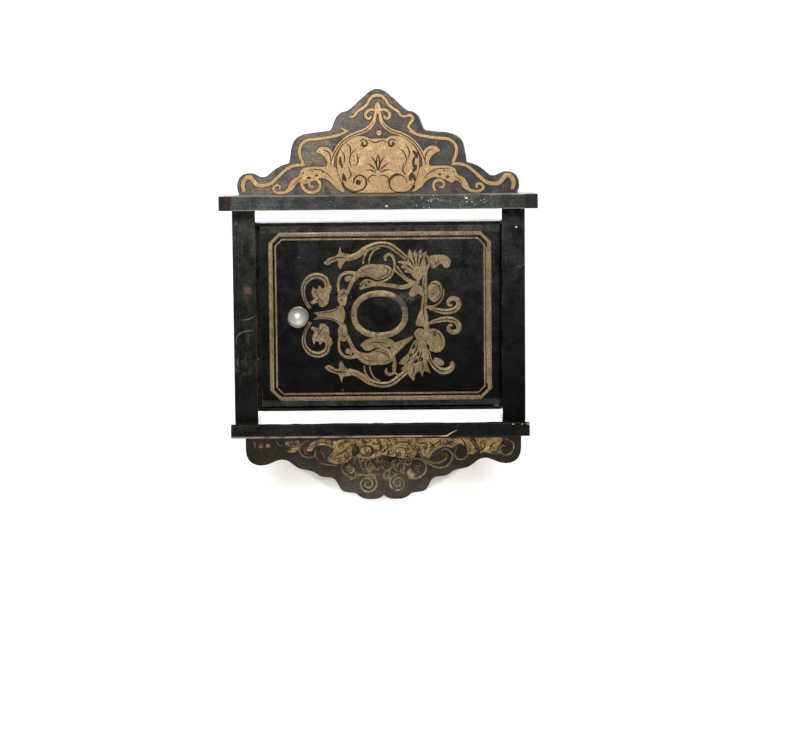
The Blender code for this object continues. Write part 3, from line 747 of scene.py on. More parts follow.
def draw_brackets(gold, ink):
    """Scrolls that climb from the wedge's root round each end of the ring."""
    fill_both(gold, [(-37.5, 7), (-42.5, 13), (-42.3, 20), (-40, 25), (-36, 26), (-32.5, 23), (-33, 16),
        (-34.5, 10)])
    both_halves(gold, [(-41, 22), (-42, 30), (-40.5, 37), (-36, 41.3), (-30, 42.3), (-23, 41)],
        [3, 2.7, 3, 3.2, 3.6, 4])
    both_halves(gold, [(-33.5, 21), (-30, 28), (-27, 34.5), (-22, 40)], [4.5, 3.8, 4.6, 7])
    for side in (1, -1):
        z = side * 36 if side > 0 else 2 * FOLD_Z - 36
        gold.disc((-32.5, z), 3.0)
        ink.disc((-38.8, FOLD_Z + side * 15.5), 0.9)
        ink.disc((-37.8, FOLD_Z + side * 9.5), 0.8)
    both_halves(gold, [(-32.5, 36.5), (-28.5, 38)], [4.0, 4.5])
    both_halves(ink, [(-39.5, 18), (-36.5, 21.5), (-33.5, 19)], [0.4, 1.0, 0.4])


def draw_leaf_bodies(gold, ink):
    """The plump leaves above and below the ring with the stems that wrap them."""
    body = [(-26, 40), (-19.5, 47), (-11.5, 50.5), (-3, 50.3), (6, 49.8), (12, 46.2), (11, 40.5), (5, 36.4),
        (-3.5, 34.6), (-11.5, 38), (-19, 37.5)]
    fill_both(gold, body)
    both_halves(ink, [(-7, 36.2), (1, 37.2), (7.5, 40.5), (8.6, 45), (4, 47.6)], [0.3, 0.8, 1.1, 0.9, 0.3])
    both_halves(ink, [(-20, 42), (-13, 45.5), (-5, 46.5)], [0.3, 0.8, 0.3])
    wrap = [(-20, 29.5), (-15, 34), (-11, 34.5), (-3, 31.8), (6, 34), (12, 38.8), (14.8, 46), (15, 53),
        (12.8, 58.6), (8.8, 60.3), (5.6, 57.5), (6.4, 54)]
    both_halves(gold, wrap, [1.6, 2.2, 2.0, 2.0, 2.4, 2.4, 2.4, 2.8, 3, 3, 2.4])
    both_halves(gold, [(-16.5, 51), (-15.6, 57.5), (-12.5, 63)], [1.8, 1.8, 1.8])
    both_halves(gold, [(-10.8, 51), (-9.8, 57), (-6, 63.5), (0, 67)], [1.6, 1.7, 1.8, 2])
    band = [(-20, 25.5), (-13, 28.6), (-3.5, 30.4), (11.5, 28.6), (24, 27), (36, 31)]
    gold.stroke(band, [2.5, 4.6, 4.6, 4.2, 4.4, 5.5])
    gold.plaque([(-20, 25), (-16, 31), (-12.5, 33.5), (-11.5, 30), (-9, 27.5)])
    ink.plaque([(-15.5, 29), (-13.4, 31.2), (-12.6, 29), (-13.2, 27.6)])
    for bend in (0, 3.2):
        gold.stroke([(14.5 + bend, 45 + bend), (21 + bend, 39), (28 + bend, 33.5), (37 + bend, 31)],
            [2.2, 2, 2.4, 3.2])


def draw_arches(gold, ink):
    """The outer arches, each from a leafy spear tip over to the acanthus."""
    spear = [(-57, 52), (-51.5, 57), (-43.5, 59.5), (-41, 64.5), (-39.5, 68.5), (-37.5, 62.5), (-29.5, 60.5),
        (-32.5, 55), (-36, 51.5), (-39.5, 45.8), (-42, 49), (-42.3, 54), (-47, 52.6), (-52, 49.8)]
    fill_both(gold, spear)
    both_halves(ink, [(-52.5, 52.8), (-46, 56.2), (-39.5, 57.5), (-34, 57)], [0.4, 1.2, 1.4, 0.5])
    arch = [(-33, 56.3), (-23, 59.5), (-14, 65.4), (-5, 69.4), (3, 70.6), (11.5, 68.7), (20.5, 62),
        (27.5, 56)]
    both_halves(gold, arch, [6, 6.4, 7, 6.2, 5.8, 6, 6, 5])
    both_halves(ink, arch[2:], [0.4, 1.1, 1.2, 1.2, 1.2, 0.6])


def draw_acanthus(gold, ink):
    """The fan of leaves at the top right and the ragged leaf that answers it below."""
    gold.plaque([(39, 32), (31, 41), (27.5, 49), (28.5, 55.5), (33, 60), (40, 60.5), (45.5, 57.5), (47.5, 50),
        (46, 41)])
    for tip_x, tip_z in ((30.5, 65), (36.3, 64.3), (42.6, 65.2), (47.6, 63)):
        gold.leaf((35 + (tip_x - 36) * 0.5, 50), (tip_x, tip_z), 5.4, 0.03)
    for tip_x, tip_z in ((18.3, 52.6), (21.5, 47.5), (25, 43)):
        gold.leaf((35, 45 + (tip_z - 47) * 0.5), (tip_x, tip_z), 4.8, -0.05)
    for tip_x, tip_z in ((29.5, 57), (34.2, 60.5), (39.5, 61), (44.2, 58.5), (26.5, 50)):
        root = (38 + (tip_x - 38) * 0.25, 42 + (tip_z - 42) * 0.3)
        ink.stroke([root, ((root[0] + tip_x) / 2 - 0.4, (root[1] + tip_z) / 2), (tip_x, tip_z)],
            [0.3, 1.2, 1.6, 0.5])
    ragged = [(44, -26), (36, -26.5), (31, -33), (28, -40), (21, -46.5), (18.8, -51), (24, -52), (20.5, -57),
        (27, -57.5), (28, -62), (33.5, -68.5), (35.5, -61.5), (39.5, -59), (42.5, -64.5), (44.6, -58.5),
        (50.8, -60.5), (47.8, -52), (48.5, -44), (50, -34)]
    gold.plaque(ragged)
    for a, b, width in (((38, -32), (33, -42), 1.5), ((42, -38), (37, -50), 1.4), ((30, -44), (26, -51), 1.2),
            ((34, -53), (33, -61), 1.2), ((43, -50), (42, -58), 1.2), ((36, -42), (30.5, -53), 1.0)):
        ink.leaf(a, b, width, 0.08)


def draw_right_side(gold, ink):
    """The stem with its bulbs, curls and commas at the ornament's right."""
    gold.stroke([(48, 59), (50.3, 51), (46.8, 43), (45.5, 33), (45.8, 20), (44.5, 8), (44.8, -4), (47, -14),
        (47.5, -25)], [2.2, 2.6, 3.4, 5.2, 5.6, 6, 6.5, 6, 7])
    ink.stroke([(45.5, 36), (44.5, 26), (45.5, 15), (44, 4), (45.5, -8)], [0.3, 0.9, 0.5, 0.9, 0.3])
    gold.plaque([(48, 56), (53, 59), (60, 59.6), (67, 58.6), (71.7, 54.5), (71.5, 49), (68, 45.8),
        (64.8, 47.2), (63, 50.4), (59.5, 49), (56, 45.6), (52.6, 46), (52, 50)])
    ink.disc((59.4, 52.2), 1.0)
    ink.stroke([(56.4, 48.8), (57, 51), (55.6, 53)], [0.4, 1.0, 0.4])
    gold.plaque([(48.5, 27), (52, 32), (57.5, 33.2), (62, 30), (63.5, 23.5), (61.5, 16.5), (56.5, 11.6),
        (51, 14), (48, 20)])
    ink.stroke([(50.5, 29), (56, 30.6), (60.4, 27), (60.7, 20), (57, 15)], [0.4, 0.9, 0.9, 0.8, 0.4])
    ink.disc((54.2, 19.5), 1.0)
    gold.stroke([(65, 25), (64, 17), (60, 10.6), (53.5, 7.4), (46.5, 8)], [1.2, 1.6, 1.6, 1.8, 2.0])
    for side, lift in ((1, 9), (-1, -13)):
        curl = [(45.5, lift - side * 1.5), (51, lift - side * 3.5), (59, lift - side * 6),
            (68, lift - side * 7.2), (76, lift - side * 5.2), (80, lift), (78, lift + side * 5),
            (72.8, lift + side * 6), (69, lift + side * 2.8), (70.6, lift - side * 0.8),
            (73.6, lift - side * 0.4)]
        gold.stroke(curl, [2.4, 3.2, 5, 5.8, 5.8, 5.4, 5.2, 4.8, 3.8, 3, 2.4])
        ink.stroke(curl[1:6], [0.3, 0.9, 1.0, 0.9, 0.3])
    gold.plaque([(47, -17.5), (53, -15), (60, -17.6), (65, -24.5), (65.3, -33), (60.5, -39), (54, -39.2),
        (47, -34)])
    ink.stroke([(49.5, -19), (55.5, -18.6), (60.6, -22.5), (61.8, -29)], [0.4, 0.9, 0.9, 0.4])
    ink.plaque([(54.4, -18.8), (57.6, -22.4), (55, -22.6), (53.8, -21)])
    gold.plaque([(33.8, -20), (38.5, -15), (44.5, -16.5), (48, -23), (44, -28), (37.5, -26.4)])
    gold.plaque([(46, 5), (40.5, 3), (37.5, -5), (36, -11), (41, -13), (47, -12), (49, -4)])
    gold.plaque([(42.6, 27), (36.5, 30), (31, 24), (29.5, 20), (33.5, 17), (38.5, 20), (44, 18)])
    tail = [(49, -39), (50.8, -47.5), (56, -54.8), (63, -58.6), (70, -57.2), (73.2, -52.4), (71.5, -49.4)]
    gold.stroke(tail, [3, 4, 6, 7, 6.5, 5, 3.4])
    ink.stroke(tail[:5], [0.4, 1.1, 1.2, 1.1, 0.4])
    gold.plaque([(55, -44.5), (60, -45.6), (64.6, -49.5), (62.8, -53), (57, -52), (53.8, -48.5)])


def draw_notches(ink):
    """Dark gaps between the lower acanthus leaves."""
    for x, z, drop in ((33, -31, 5), (37.5, -38, 5.5), (35, -46, 5), (41, -45, 4), (30, -40, 4)):
        ink.leaf((x + 1.5, z), (x - 0.8, z - drop), 2.3, 0.12)


def draw_lower_leaves(gold, ink):
    """Leaves tucked under the ring."""
    gold.plaque([(-20, -31), (-15.5, -26.5), (-9, -24.3), (0, -23.4), (9, -25), (14, -28.4), (11, -33),
        (4, -34.6), (-2, -32.6), (-8, -34.2), (-15, -36)])
    gold.plaque([(10, -35), (13, -30), (18.5, -27.8), (26, -25.4), (33.5, -22), (31.5, -27), (25, -32),
        (19, -38), (13, -43)])
    gold.stroke([(-4, -36.2), (5, -36), (11, -41), (13.6, -48), (12.8, -56), (15, -60.4), (20.5, -62.5)],
        [1.6, 2.2, 2.4, 2.4, 2.2, 2, 1.4])
    ink.stroke([(-12, -30), (-3, -28.6), (6, -29.6)], [0.3, 1.0, 0.3])


def gild_door(materials):
    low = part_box("door_panel")[0]
    place = (low.y, DOOR_ORNAMENT_X * MM, DOOR_ORNAMENT_Z * MM)
    gold = Relief("door_scrollwork", *place, GILT_HEIGHT)
    ink = Relief("door_scrollwork_veins", *place, GILT_HEIGHT + INK_HEIGHT, weight=VEIN_WEIGHT)
    ring = Relief("door_ring", *place, GILT_HEIGHT)
    ring.stroke(oval(26, 21.3, (-0.4, -0.4)), [6.2], smooth=False, closed=True)
    for draw in (draw_left_scrolls, draw_brackets, draw_leaf_bodies, draw_arches, draw_acanthus,
            draw_right_side, draw_lower_leaves):
        draw(gold, ink)
    draw_notches(ink)
    for piece, look in ((gold, "scroll"), (ink, "ink"), (ring, "ring")):
        piece.finish(materials[look], "door")
    gild_door_border(low.y, materials)


def clipped(left, right, bottom, top, corner):
    """A rectangle with its corners cut off."""
    return [(left + corner, top), (right - corner, top), (right, top - corner), (right, bottom + corner),
        (right - corner, bottom), (left + corner, bottom), (left, bottom + corner), (left, top - corner)]


def gild_door_border(face_y, materials):
    """A broad gilt band and a thin line inside it, both with clipped corners. They are as thin
    as leaf, since the band passes close to the right stile when the door opens."""
    border = Relief("door_border", face_y, BORDER_X * MM, BORDER_Z * MM, UNDER_HEIGHT)
    for inset, thick, corner in ((2.2, 4.4, 9.0), (7.2, 1.8, 6.5)):
        half_x, half_z = BORDER_HALF_X - inset, BORDER_HALF_Z - inset
        line = clipped(-half_x, half_x, -half_z, half_z, corner)
        border.stroke([*line, line[0]], [thick], smooth=False, closed=True)
    border.stroke([(half_x + 2.4, -half_z + 9), (half_x + 2.4, half_z - 9)], [1.6], smooth=False)
    border.finish(materials["border"], "door")


# ---- gilding on the crest

def both_sides(relief, points, widths):
    relief.stroke(points, widths)
    relief.stroke(mirror_x(points), widths)


def fill_sides(relief, points):
    relief.plaque(points)
    relief.plaque(mirror_x(points))


def draw_crest_line(gold):
    """The line that follows the crest's edge and curls up in its end lobes."""
    lower = [(32, 64), (41, 60.4), (52.5, 58), (63, 56.6), (72.5, 55.6), (78.6, 51.5), (81, 45), (80, 38.5),
        (77, 32)]
    foot = [(76, 30), (84, 30), (91.5, 27.8), (98, 23), (104, 17.5), (110, 12), (117, 9.6), (124, 10),
        (128, 13.5), (131.5, 17.6), (136.5, 17.2), (139.7, 11), (138.4, 3.5)]
    both_sides(gold, lower, [1.6, 3.2, 3.2, 3.2, 3.2, 3.2, 3.4, 3.6, 3.4])
    both_sides(gold, foot, [3.4, 3.2, 3.2, 3.4, 3.6, 3.8, 4.2, 4.6, 4.6, 4.8, 5, 4.6, 4])
    both_sides(gold, [(0, 101), (4.5, 100), (8.5, 96), (11, 91.5), (16.5, 87), (21, 84.3), (24.2, 79.8),
        (29, 79)], [3.2, 3.2, 3, 3, 3, 3, 2.8, 2.6])
    gold.stroke([(29, 79), (33.6, 80.2), (36.4, 76.5), (33.4, 72.3), (31.6, 68.5), (34, 65.4), (38.5, 62.5)],
        [2.6, 3, 3.2, 3, 2.8, 2.6, 1.6])
    gold.stroke([(-38, 68), (-34, 65.4), (-30.5, 64)], [1.6, 2.4, 2.2])


def draw_crest_arch(gold, ink):
    """The onion arch over the shell, with its finial, side curls and pearl."""
    arch = [(2, 84), (4.6, 73), (12.5, 65.4), (25, 60.8), (34, 55.6), (41, 48.4), (46, 39.5), (49.5, 30)]
    both_sides(gold, arch, [3, 4.2, 4.6, 4.6, 4.4, 4.2, 4.4, 4.6])
    both_sides(ink, arch[1:], [0.4, 1.0, 1.0, 1.0, 1.0, 1.0, 0.4])
    gold.plaque([(0, 95.5), (2.6, 91.5), (3.2, 87.5), (2.4, 83), (-2.4, 83), (-3.2, 87.5), (-2.6, 91.5)])
    both_sides(gold, [(2, 85.5), (7.6, 86.2), (12, 82.6), (12, 78.4), (8.4, 77), (6.6, 80)],
        [2.4, 3, 3.2, 3, 2.6, 2])
    gold.disc((1.2, 62.6), 2.9)


def draw_shell(gold, ink):
    """The solid gold shell with its palmette, scroll eyes and punched dots."""
    half = [(0, 57), (8, 56.8), (13, 59.2), (22, 59.2), (30.5, 55), (37.5, 48.4), (41.6, 40), (42.5, 29),
        (40, 18), (36, 9), (30, 2.6), (15, 1.0), (0, 1.0)]
    gold.plaque(half + [(-x, z) for x, z in reversed(half[1:-1])])
    for side in (-1, 1):
        ink.spiral((side * 14.4, 51.6), 4.8, side * 1.1, 90 - side * 60, [1.0, 1.8, 2.8])
        ink.leaf((side * 36.5, 27), (side * 38.6, 39), 2.6, 0.1)
        ink.leaf((side * 33, 13), (side * 36, 22), 3.2, 0.1)
        for angle, reach in ((90, 20), (68, 19), (42, 16), (16, 13)):
            turn = math.radians(angle)
            tip = (side * reach * math.cos(turn), 21 + reach * math.sin(turn))
            ink.leaf((side * 2.4 * math.cos(turn), 21 + 3 * math.sin(turn)), tip, 1.5, side * 0.10)
        ink.stroke([(side * 1.5, 18.5), (side * 6, 19), (side * 10.5, 15.5), (side * 8.5, 11.5)],
            [0.5, 1.1, 1.2, 0.5])
        ink.stroke([(side * 21, 47), (side * 27, 42), (side * 29.5, 34), (side * 27, 27)],
            [0.4, 1.1, 1.1, 0.4])
    ink.stroke([(-37, 18), (-35.5, 9), (-29, 3.6), (-20, 3), (-13, 8), (-13, 15.5), (-18.5, 19.4),
        (-24, 16.6), (-25.4, 11)], [0.8, 1.6, 1.8, 1.6, 1.6, 1.6, 1.6, 1.6, 1.4])
    ink.disc((-20.6, 12), 3.0)
    ink.stroke(oval(9, 9, (20.4, 10.6), 30, 2.0)[:-6], [0.7, 0.7, 2.6, 2.2, 1.2, 1.0, 0.8], smooth=False)
    for points in ([(-38.5, 46), (-34.6, 39), (-35, 31)], [(-33, 53), (-28.4, 47), (-29, 40.6)],
            [(-22, 42), (-20.6, 34), (-23, 29)], [(29, 50), (32.5, 43), (31, 36)],
            [(-10, 55), (-3, 52.6), (4, 54.6), (10, 53)], [(-31, 28), (-28, 20), (-31, 15)],
            [(27, 32), (25.4, 24), (28.5, 19)]):
        ink.stroke(points, [0.5, 1.4, 0.5])
    for root, tip in (((35.4, 44), (40.5, 35.5)), ((39, 30), (35, 22)), ((33, 21), (37.6, 12.6)),
            ((37, 9), (33.6, 4.4))):
        ink.leaf(root, tip, 3.4, 0.14)
    chance = random.Random(DOT_SEED)
    for _ in range(70):
        x, z = chance.uniform(-33, 33), chance.uniform(28, 55)
        if math.hypot(x / 38, (z - 26) / 30) < 0.95 and math.hypot(x, z - 24) > 15:
            ink.disc((x, z), chance.uniform(0.45, 0.75), sides=7)


def draw_horns(gold, ink):
    """Leaf horns that curl out of the arch's foot."""
    fill_sides(gold, [(46, 26), (45.2, 36.5), (46.4, 42.5), (49.5, 47), (55, 49), (60.5, 48), (64, 43.6),
        (59, 41.4), (54.4, 36.8), (52.4, 31), (54.5, 26)])
    both_sides(ink, [(48.6, 30), (48.8, 38), (51.6, 43.6), (57, 45.4)], [0.4, 1.1, 1.3, 0.5])


def draw_crest_leaves(gold, ink):
    """Running leaves on both sides of the shell, with a spiral in each."""
    fill_sides(gold, [(43, 27), (50, 30), (56, 28.4), (64, 28.8), (73, 28.2), (79.5, 25.4), (82, 19.5),
        (88, 16), (91.8, 11.4), (93.6, 6.6), (96.5, 3), (91, 3), (87, 6.4), (84.2, 11), (80, 13),
        (75.5, 10.5), (70, 13.4), (64, 15.6), (57, 16.4), (50, 13), (43, 5.5), (35, 1.6), (38, 11), (41, 20)])
    both_sides(gold, [(90.5, 8), (93.4, 3.4), (99, 1.9), (105.5, 2.4), (108.4, 6), (105.4, 9.4), (101.4, 8.6),
        (101.8, 5.4)], [3, 3, 3, 3, 3, 2.8, 2.4, 2])
    gold.stroke([(58.5, 2.6), (56.8, 8.4), (60, 12.8), (65.4, 13), (68, 9.4), (66, 6), (63, 6.6)],
        [3, 3.2, 3.4, 3.2, 3, 2.6, 2])
    gold.stroke([(-77, 20), (-79, 11), (-75, 4), (-67.5, 1.6), (-61, 5.6), (-60.6, 12), (-65.4, 15.6),
        (-70.8, 13), (-70.6, 8.4), (-66.6, 7.8)], [3.6, 3.4, 3.4, 3.2, 3.2, 3.2, 3, 2.8, 2.4, 2])
    for x, z, radius in ((63.5, 19.5, 2.0), (71.5, 17, 2.2), (77.5, 22, 1.4), (57.5, 22.5, 1.2),
            (68, 23.5, 1.3)):
        for side in (-1, 1):
            ink.disc((side * x, z), radius, 0.7)
    both_sides(ink, [(46, 14), (52, 20.5), (59, 24.8), (67, 25.6), (74, 24.8)], [0.3, 0.9, 1.1, 0.9, 0.3])
    both_sides(ink, [(78, 18), (83, 14.5), (87.4, 10)], [0.3, 1.0, 0.4])


def gild_crest(materials):
    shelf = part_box("top_shelf")[1].z
    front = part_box("crest_board")[0].y
    rim = Relief("crest_scrollwork_rims", front, 0, shelf, UNDER_HEIGHT)
    gold = Relief("crest_scrollwork", front, 0, shelf, GILT_HEIGHT, rim)
    ink = Relief("crest_scrollwork_veins", front, 0, shelf, GILT_HEIGHT + INK_HEIGHT, weight=VEIN_WEIGHT)
    draw_crest_line(gold)
    for draw in (draw_crest_arch, draw_shell, draw_horns, draw_crest_leaves):
        draw(gold, ink)
    for piece, look in ((gold, "crest"), (ink, "crest_ink"), (rim, "crest_ink")):
        piece.finish(materials[look], "cabinet")


# ---- gilding on the apron

def draw_apron_left(gold, line, ink):
    """Two pearls, a torn leaf, an open C scroll and a long leaf bowed over small stems."""
    for x in (-128, -120.5):
        gold.disc((x, -16), 2.5)
    line.stroke([(-135.5, -11), (-133.8, -14.5), (-134.8, -18.5)], [0.8, 1.4, 0.7])
    line.stroke([(-112, -10), (-109, -15), (-105, -15.4)], [1, 1.8, 1])
    gold.plaque([(-102, -12), (-94, -9.5), (-88, -11), (-87.4, -17), (-90, -21), (-95, -23.6), (-101, -22),
        (-97, -18), (-102.5, -16)])
    line.stroke([(-78, -10.4), (-85, -14), (-88, -20.5), (-85, -26), (-79, -28.5), (-73, -27.5),
        (-70.5, -23)], [1.4, 1.8, 2, 2, 1.8, 1.6, 1])
    line.stroke([(-77, -14), (-81.5, -18), (-82, -23), (-78.6, -25.5)], [0.8, 1.3, 1.3, 0.8])
    gold.plaque([(-80.5, -22), (-78, -15.5), (-70, -10.4), (-60, -9.6), (-51.5, -11.4), (-43, -10),
        (-33.5, -9.4), (-29.5, -15), (-33.5, -22), (-32.5, -28.5), (-39, -34.5), (-51, -35.5), (-59, -31),
        (-54, -24), (-52, -20.6), (-57, -17.6), (-64, -16), (-71, -17.4), (-75, -22)])
    ink.stroke([(-51, -27.5), (-44.5, -25), (-39, -21), (-35, -16.4)], [0.5, 1.6, 1.8, 0.6])
    ink.stroke([(-76, -18.4), (-70, -14), (-61, -12.8), (-53, -15.4)], [0.4, 1.0, 1.0, 0.4])
    ink.stroke([(-47.5, -17.5), (-43.5, -13.6), (-38, -13)], [0.4, 1.3, 0.5])
    ink.stroke([(-54, -31), (-46, -30), (-39.5, -27)], [0.4, 1.1, 0.4])
    for start, bow, end in (((-70.5, -20), (-71.4, -26), (-67.5, -32)),
            ((-66, -21), (-63, -25), (-61.5, -29.5)), ((-68, -34), (-58, -36.5), (-48, -37))):
        line.stroke([start, bow, end], [1.0, 1.5, 0.8])
    line.stroke([(-42, -34), (-44, -39), (-42, -44.5), (-37, -48.6), (-31.6, -51), (-29, -47.5),
        (-31.5, -43)], [1.6, 2, 2.2, 2.4, 2.2, 1.8, 1.2])
    gold.plaque([(-40, -38.5), (-35, -38), (-30.5, -41), (-33, -46), (-38, -44.4)])


def draw_apron_right(gold, line, ink):
    """A double C scroll and torn leaves that run out into the right lobe."""
    line.stroke([(37, -23), (41, -30), (46, -35), (54, -39.6), (63, -40), (69.6, -35), (72, -27.5), (68, -22),
        (63, -20.8), (59, -24)], [1.4, 2, 2.2, 2.2, 2.2, 2.2, 2.2, 2, 1.8, 1.2])
    line.stroke([(45, -32), (52.5, -35.4), (60, -34.4), (65.6, -30), (65, -25.4), (61, -26.4)],
        [1.4, 2.2, 2.4, 2.2, 1.8, 1.2])
    gold.plaque([(36, -9.4), (60, -9.4), (82, -9.4), (90, -9.6), (96, -16), (98.6, -22), (95, -26.6),
        (88.6, -26), (86.4, -20), (80, -15), (73, -19.5), (64, -18.6), (57, -20.6), (51, -25), (48, -31),
        (42, -28.4), (38, -22)])
    ink.stroke([(81, -10), (84.6, -15), (85.6, -21), (83.4, -26), (79.6, -26)], [1.2, 2, 2, 1.6, 0.8])
    line.stroke([(76.6, -19), (74, -25), (76, -30.6), (81.5, -32), (86.6, -29), (88, -25)],
        [1.2, 1.8, 2, 1.8, 1.6, 1])
    gold.plaque([(95, -9.6), (108, -9.6), (124, -9.8), (122.6, -15), (121, -19.6), (124, -25), (116, -27.4),
        (107, -25), (101.6, -26.4), (99.8, -20), (97, -15)])
    ink.stroke([(91, -11), (94.6, -17.4), (100, -23), (105, -20), (107.6, -13)], [0.8, 1.6, 2, 1.8, 0.8])
    ink.stroke([(110, -22.6), (113.6, -17), (119, -14)], [0.4, 1.2, 0.4])
    line.stroke([(127, -10.4), (134, -14), (136, -20), (132.6, -26), (126, -27.6), (121.6, -23), (123.6, -18),
        (128, -18.6)], [1.2, 1.8, 2, 2, 1.8, 1.8, 1.6, 1])
    line.stroke([(30, -31.4), (37.4, -31), (43.4, -35.5), (44.4, -42), (41, -48), (33.6, -51.6),
        (25.4, -50.6)], [1.4, 2, 2.4, 2.4, 2.4, 2.2, 1.4])
    line.stroke([(40, -39.4), (35, -38.6), (32.6, -42), (36.6, -45)], [1.0, 1.8, 1.8, 1.0])
    gold.plaque([(24, -44), (28, -40.4), (31, -44.6), (35, -48.6), (30, -50.6), (25, -49)])


def draw_apron_middle(gold, line, ink):
    """A gilt band cut into scrolls by dark hollows, with nested curls and two whorls under it."""
    gold.plaque([(-32, -9.4), (0, -9.4), (38, -9.4), (39, -16), (35, -24), (31, -30), (20, -30.4), (9, -28.6),
        (-1, -27), (-10, -30), (-19, -30.6), (-28, -28), (-30.4, -18)])
    ink.stroke([(-31, -16), (-27.4, -18.4), (-27, -23.6), (-30, -26.4)], [1.2, 3.6, 4.2, 1.2])
    ink.stroke([(-18, -17), (-13, -18.4), (-11.6, -23), (-14, -28)], [1.0, 3.0, 3.8, 1.2])
    line.stroke([(-19, -16.4), (-23.6, -19), (-24.4, -23.6), (-21, -27), (-17, -24.6)],
        [1.4, 1.8, 2, 1.8, 1.2])
    for points in ([(10, -17), (16, -13.4), (23.6, -14), (29, -17.6), (32, -23.6)],
            [(12, -22), (17, -18.6), (22.4, -20.6), (24, -25.6), (29, -25)],
            [(-8, -14), (-3, -17.6), (-4.4, -22.6), (-9, -22)], [(2, -12.4), (5, -17), (2, -22), (-2, -25)],
            [(34, -12), (38, -15.4), (43, -14.4), (45.6, -19), (42, -23.4)],
            [(48, -13), (52, -16.4), (57, -13.6)], [(61, -12.6), (65, -16.4), (70.4, -13.4), (75, -15.6)],
            [(-24, -11.6), (-18, -13.6), (-12, -11.6)]):
        ink.stroke(points, [0.5, 1.3, 1.7, 1.3, 0.5])
    for x, z, radius, turns, start in ((-1, -21, 3.6, 1.2, 90), (7.5, -23.5, 3.4, -1.2, 40),
            (16, -25.6, 3.0, 1.1, 150), (-5, -11.8, 2.6, -1, 0), (12, -11.6, 2.6, 1, 200),
            (27, -12.4, 2.8, -1, 60), (34.5, -21, 3.4, 1.2, 10), (50, -19.6, 3.4, -1.2, 120),
            (57.5, -14.5, 2.8, 1, 240), (70, -15, 2.8, -1.1, 30), (-38, -27, 3.6, 1.2, 60),
            (-47, -32, 2.8, -1, 130), (-59, -12.8, 2.2, 1, 20), (89, -21.6, 3.0, 1.1, 80),
            (113, -22.4, 3.2, -1.2, 110), (103, -15, 2.8, 1, 300), (-95, -15.6, 3.0, -1.1, 60),
            (24, -27.6, 2.8, 1, 30)):
        ink.spiral((x, z), radius, turns, start, [0.6, 1.2, 1.3, 0.9], 0.3, 18)
    for x, z, radius, turns, start in ((-13, -37.6, 7.4, 0.72, 110), (-15, -38, 11, 0.62, 100),
            (-29, -33, 4.6, -1.1, 120), (3, -37, 6.6, -1.2, 20), (3.6, -48.4, 5.0, 1.0, 60),
            (17, -39, 6.4, 1.25, 160), (25, -33.6, 4.4, -1.1, 40), (-4.6, -31, 4.2, 1.2, 200)):
        line.spiral((x, z), radius, turns, start, [1.4, 1.9, 1.9, 1.2], 0.35)
    line.stroke([(-28, -52), (-24, -47.4), (-14, -48), (-3, -46.6)], [0.8, 1.5, 1.7, 0.9])
    chance = random.Random(CURL_SEED)
    for _ in range(34):
        x, z = chance.uniform(-36, 38), chance.uniform(-51, -31)
        turn = chance.choice((-1, 1))
        radius, start = chance.uniform(1.8, 3.6), chance.uniform(0, 360)
        line.spiral((x, z), radius, 0.75 * turn, start, [0.7, 1.3, 0.8], 0.4, 12)
    for x, z, radius in ((-17, -57, 10.6), (14.6, -56.4, 9.4)):
        side = -1 if x < 0 else 1
        line.spiral((x, z), radius, side * 1.9, 90, [1.6, 2.0, 2.2, 2.0, 1.5], 0.2, 40)


def gild_apron(materials):
    low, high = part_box("apron_board")
    place = (low.y, (low.x + high.x) / 2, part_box("bottom_shelf")[0].z - APRON_DROP * MM)
    shade = Relief("apron_shades", *place, UNDER_HEIGHT)
    gold = Relief("apron_leaves", *place, GILT_HEIGHT, shade)
    ink = Relief("apron_veins", *place, GILT_HEIGHT + INK_HEIGHT)
    line = Relief("apron_scrolls", *place, GILT_HEIGHT + 2 * INK_HEIGHT, shade)
    shade.plaque([(-43, -31), (-20, -28), (10, -28), (42, -30), (45.6, -42), (40, -50), (27, -53), (24, -62),
        (15, -67), (4, -62), (-1, -54), (-6, -62), (-17, -68.6), (-28, -62), (-31, -52.6), (-42, -49),
        (-46, -40)])
    for draw in (draw_apron_left, draw_apron_middle, draw_apron_right):
        draw(gold, line, ink)
    for piece, look in ((shade, "apron_shade"), (gold, "apron"), (line, "apron_line"), (ink, "apron_ink")):
        piece.finish(materials[look], "cabinet")


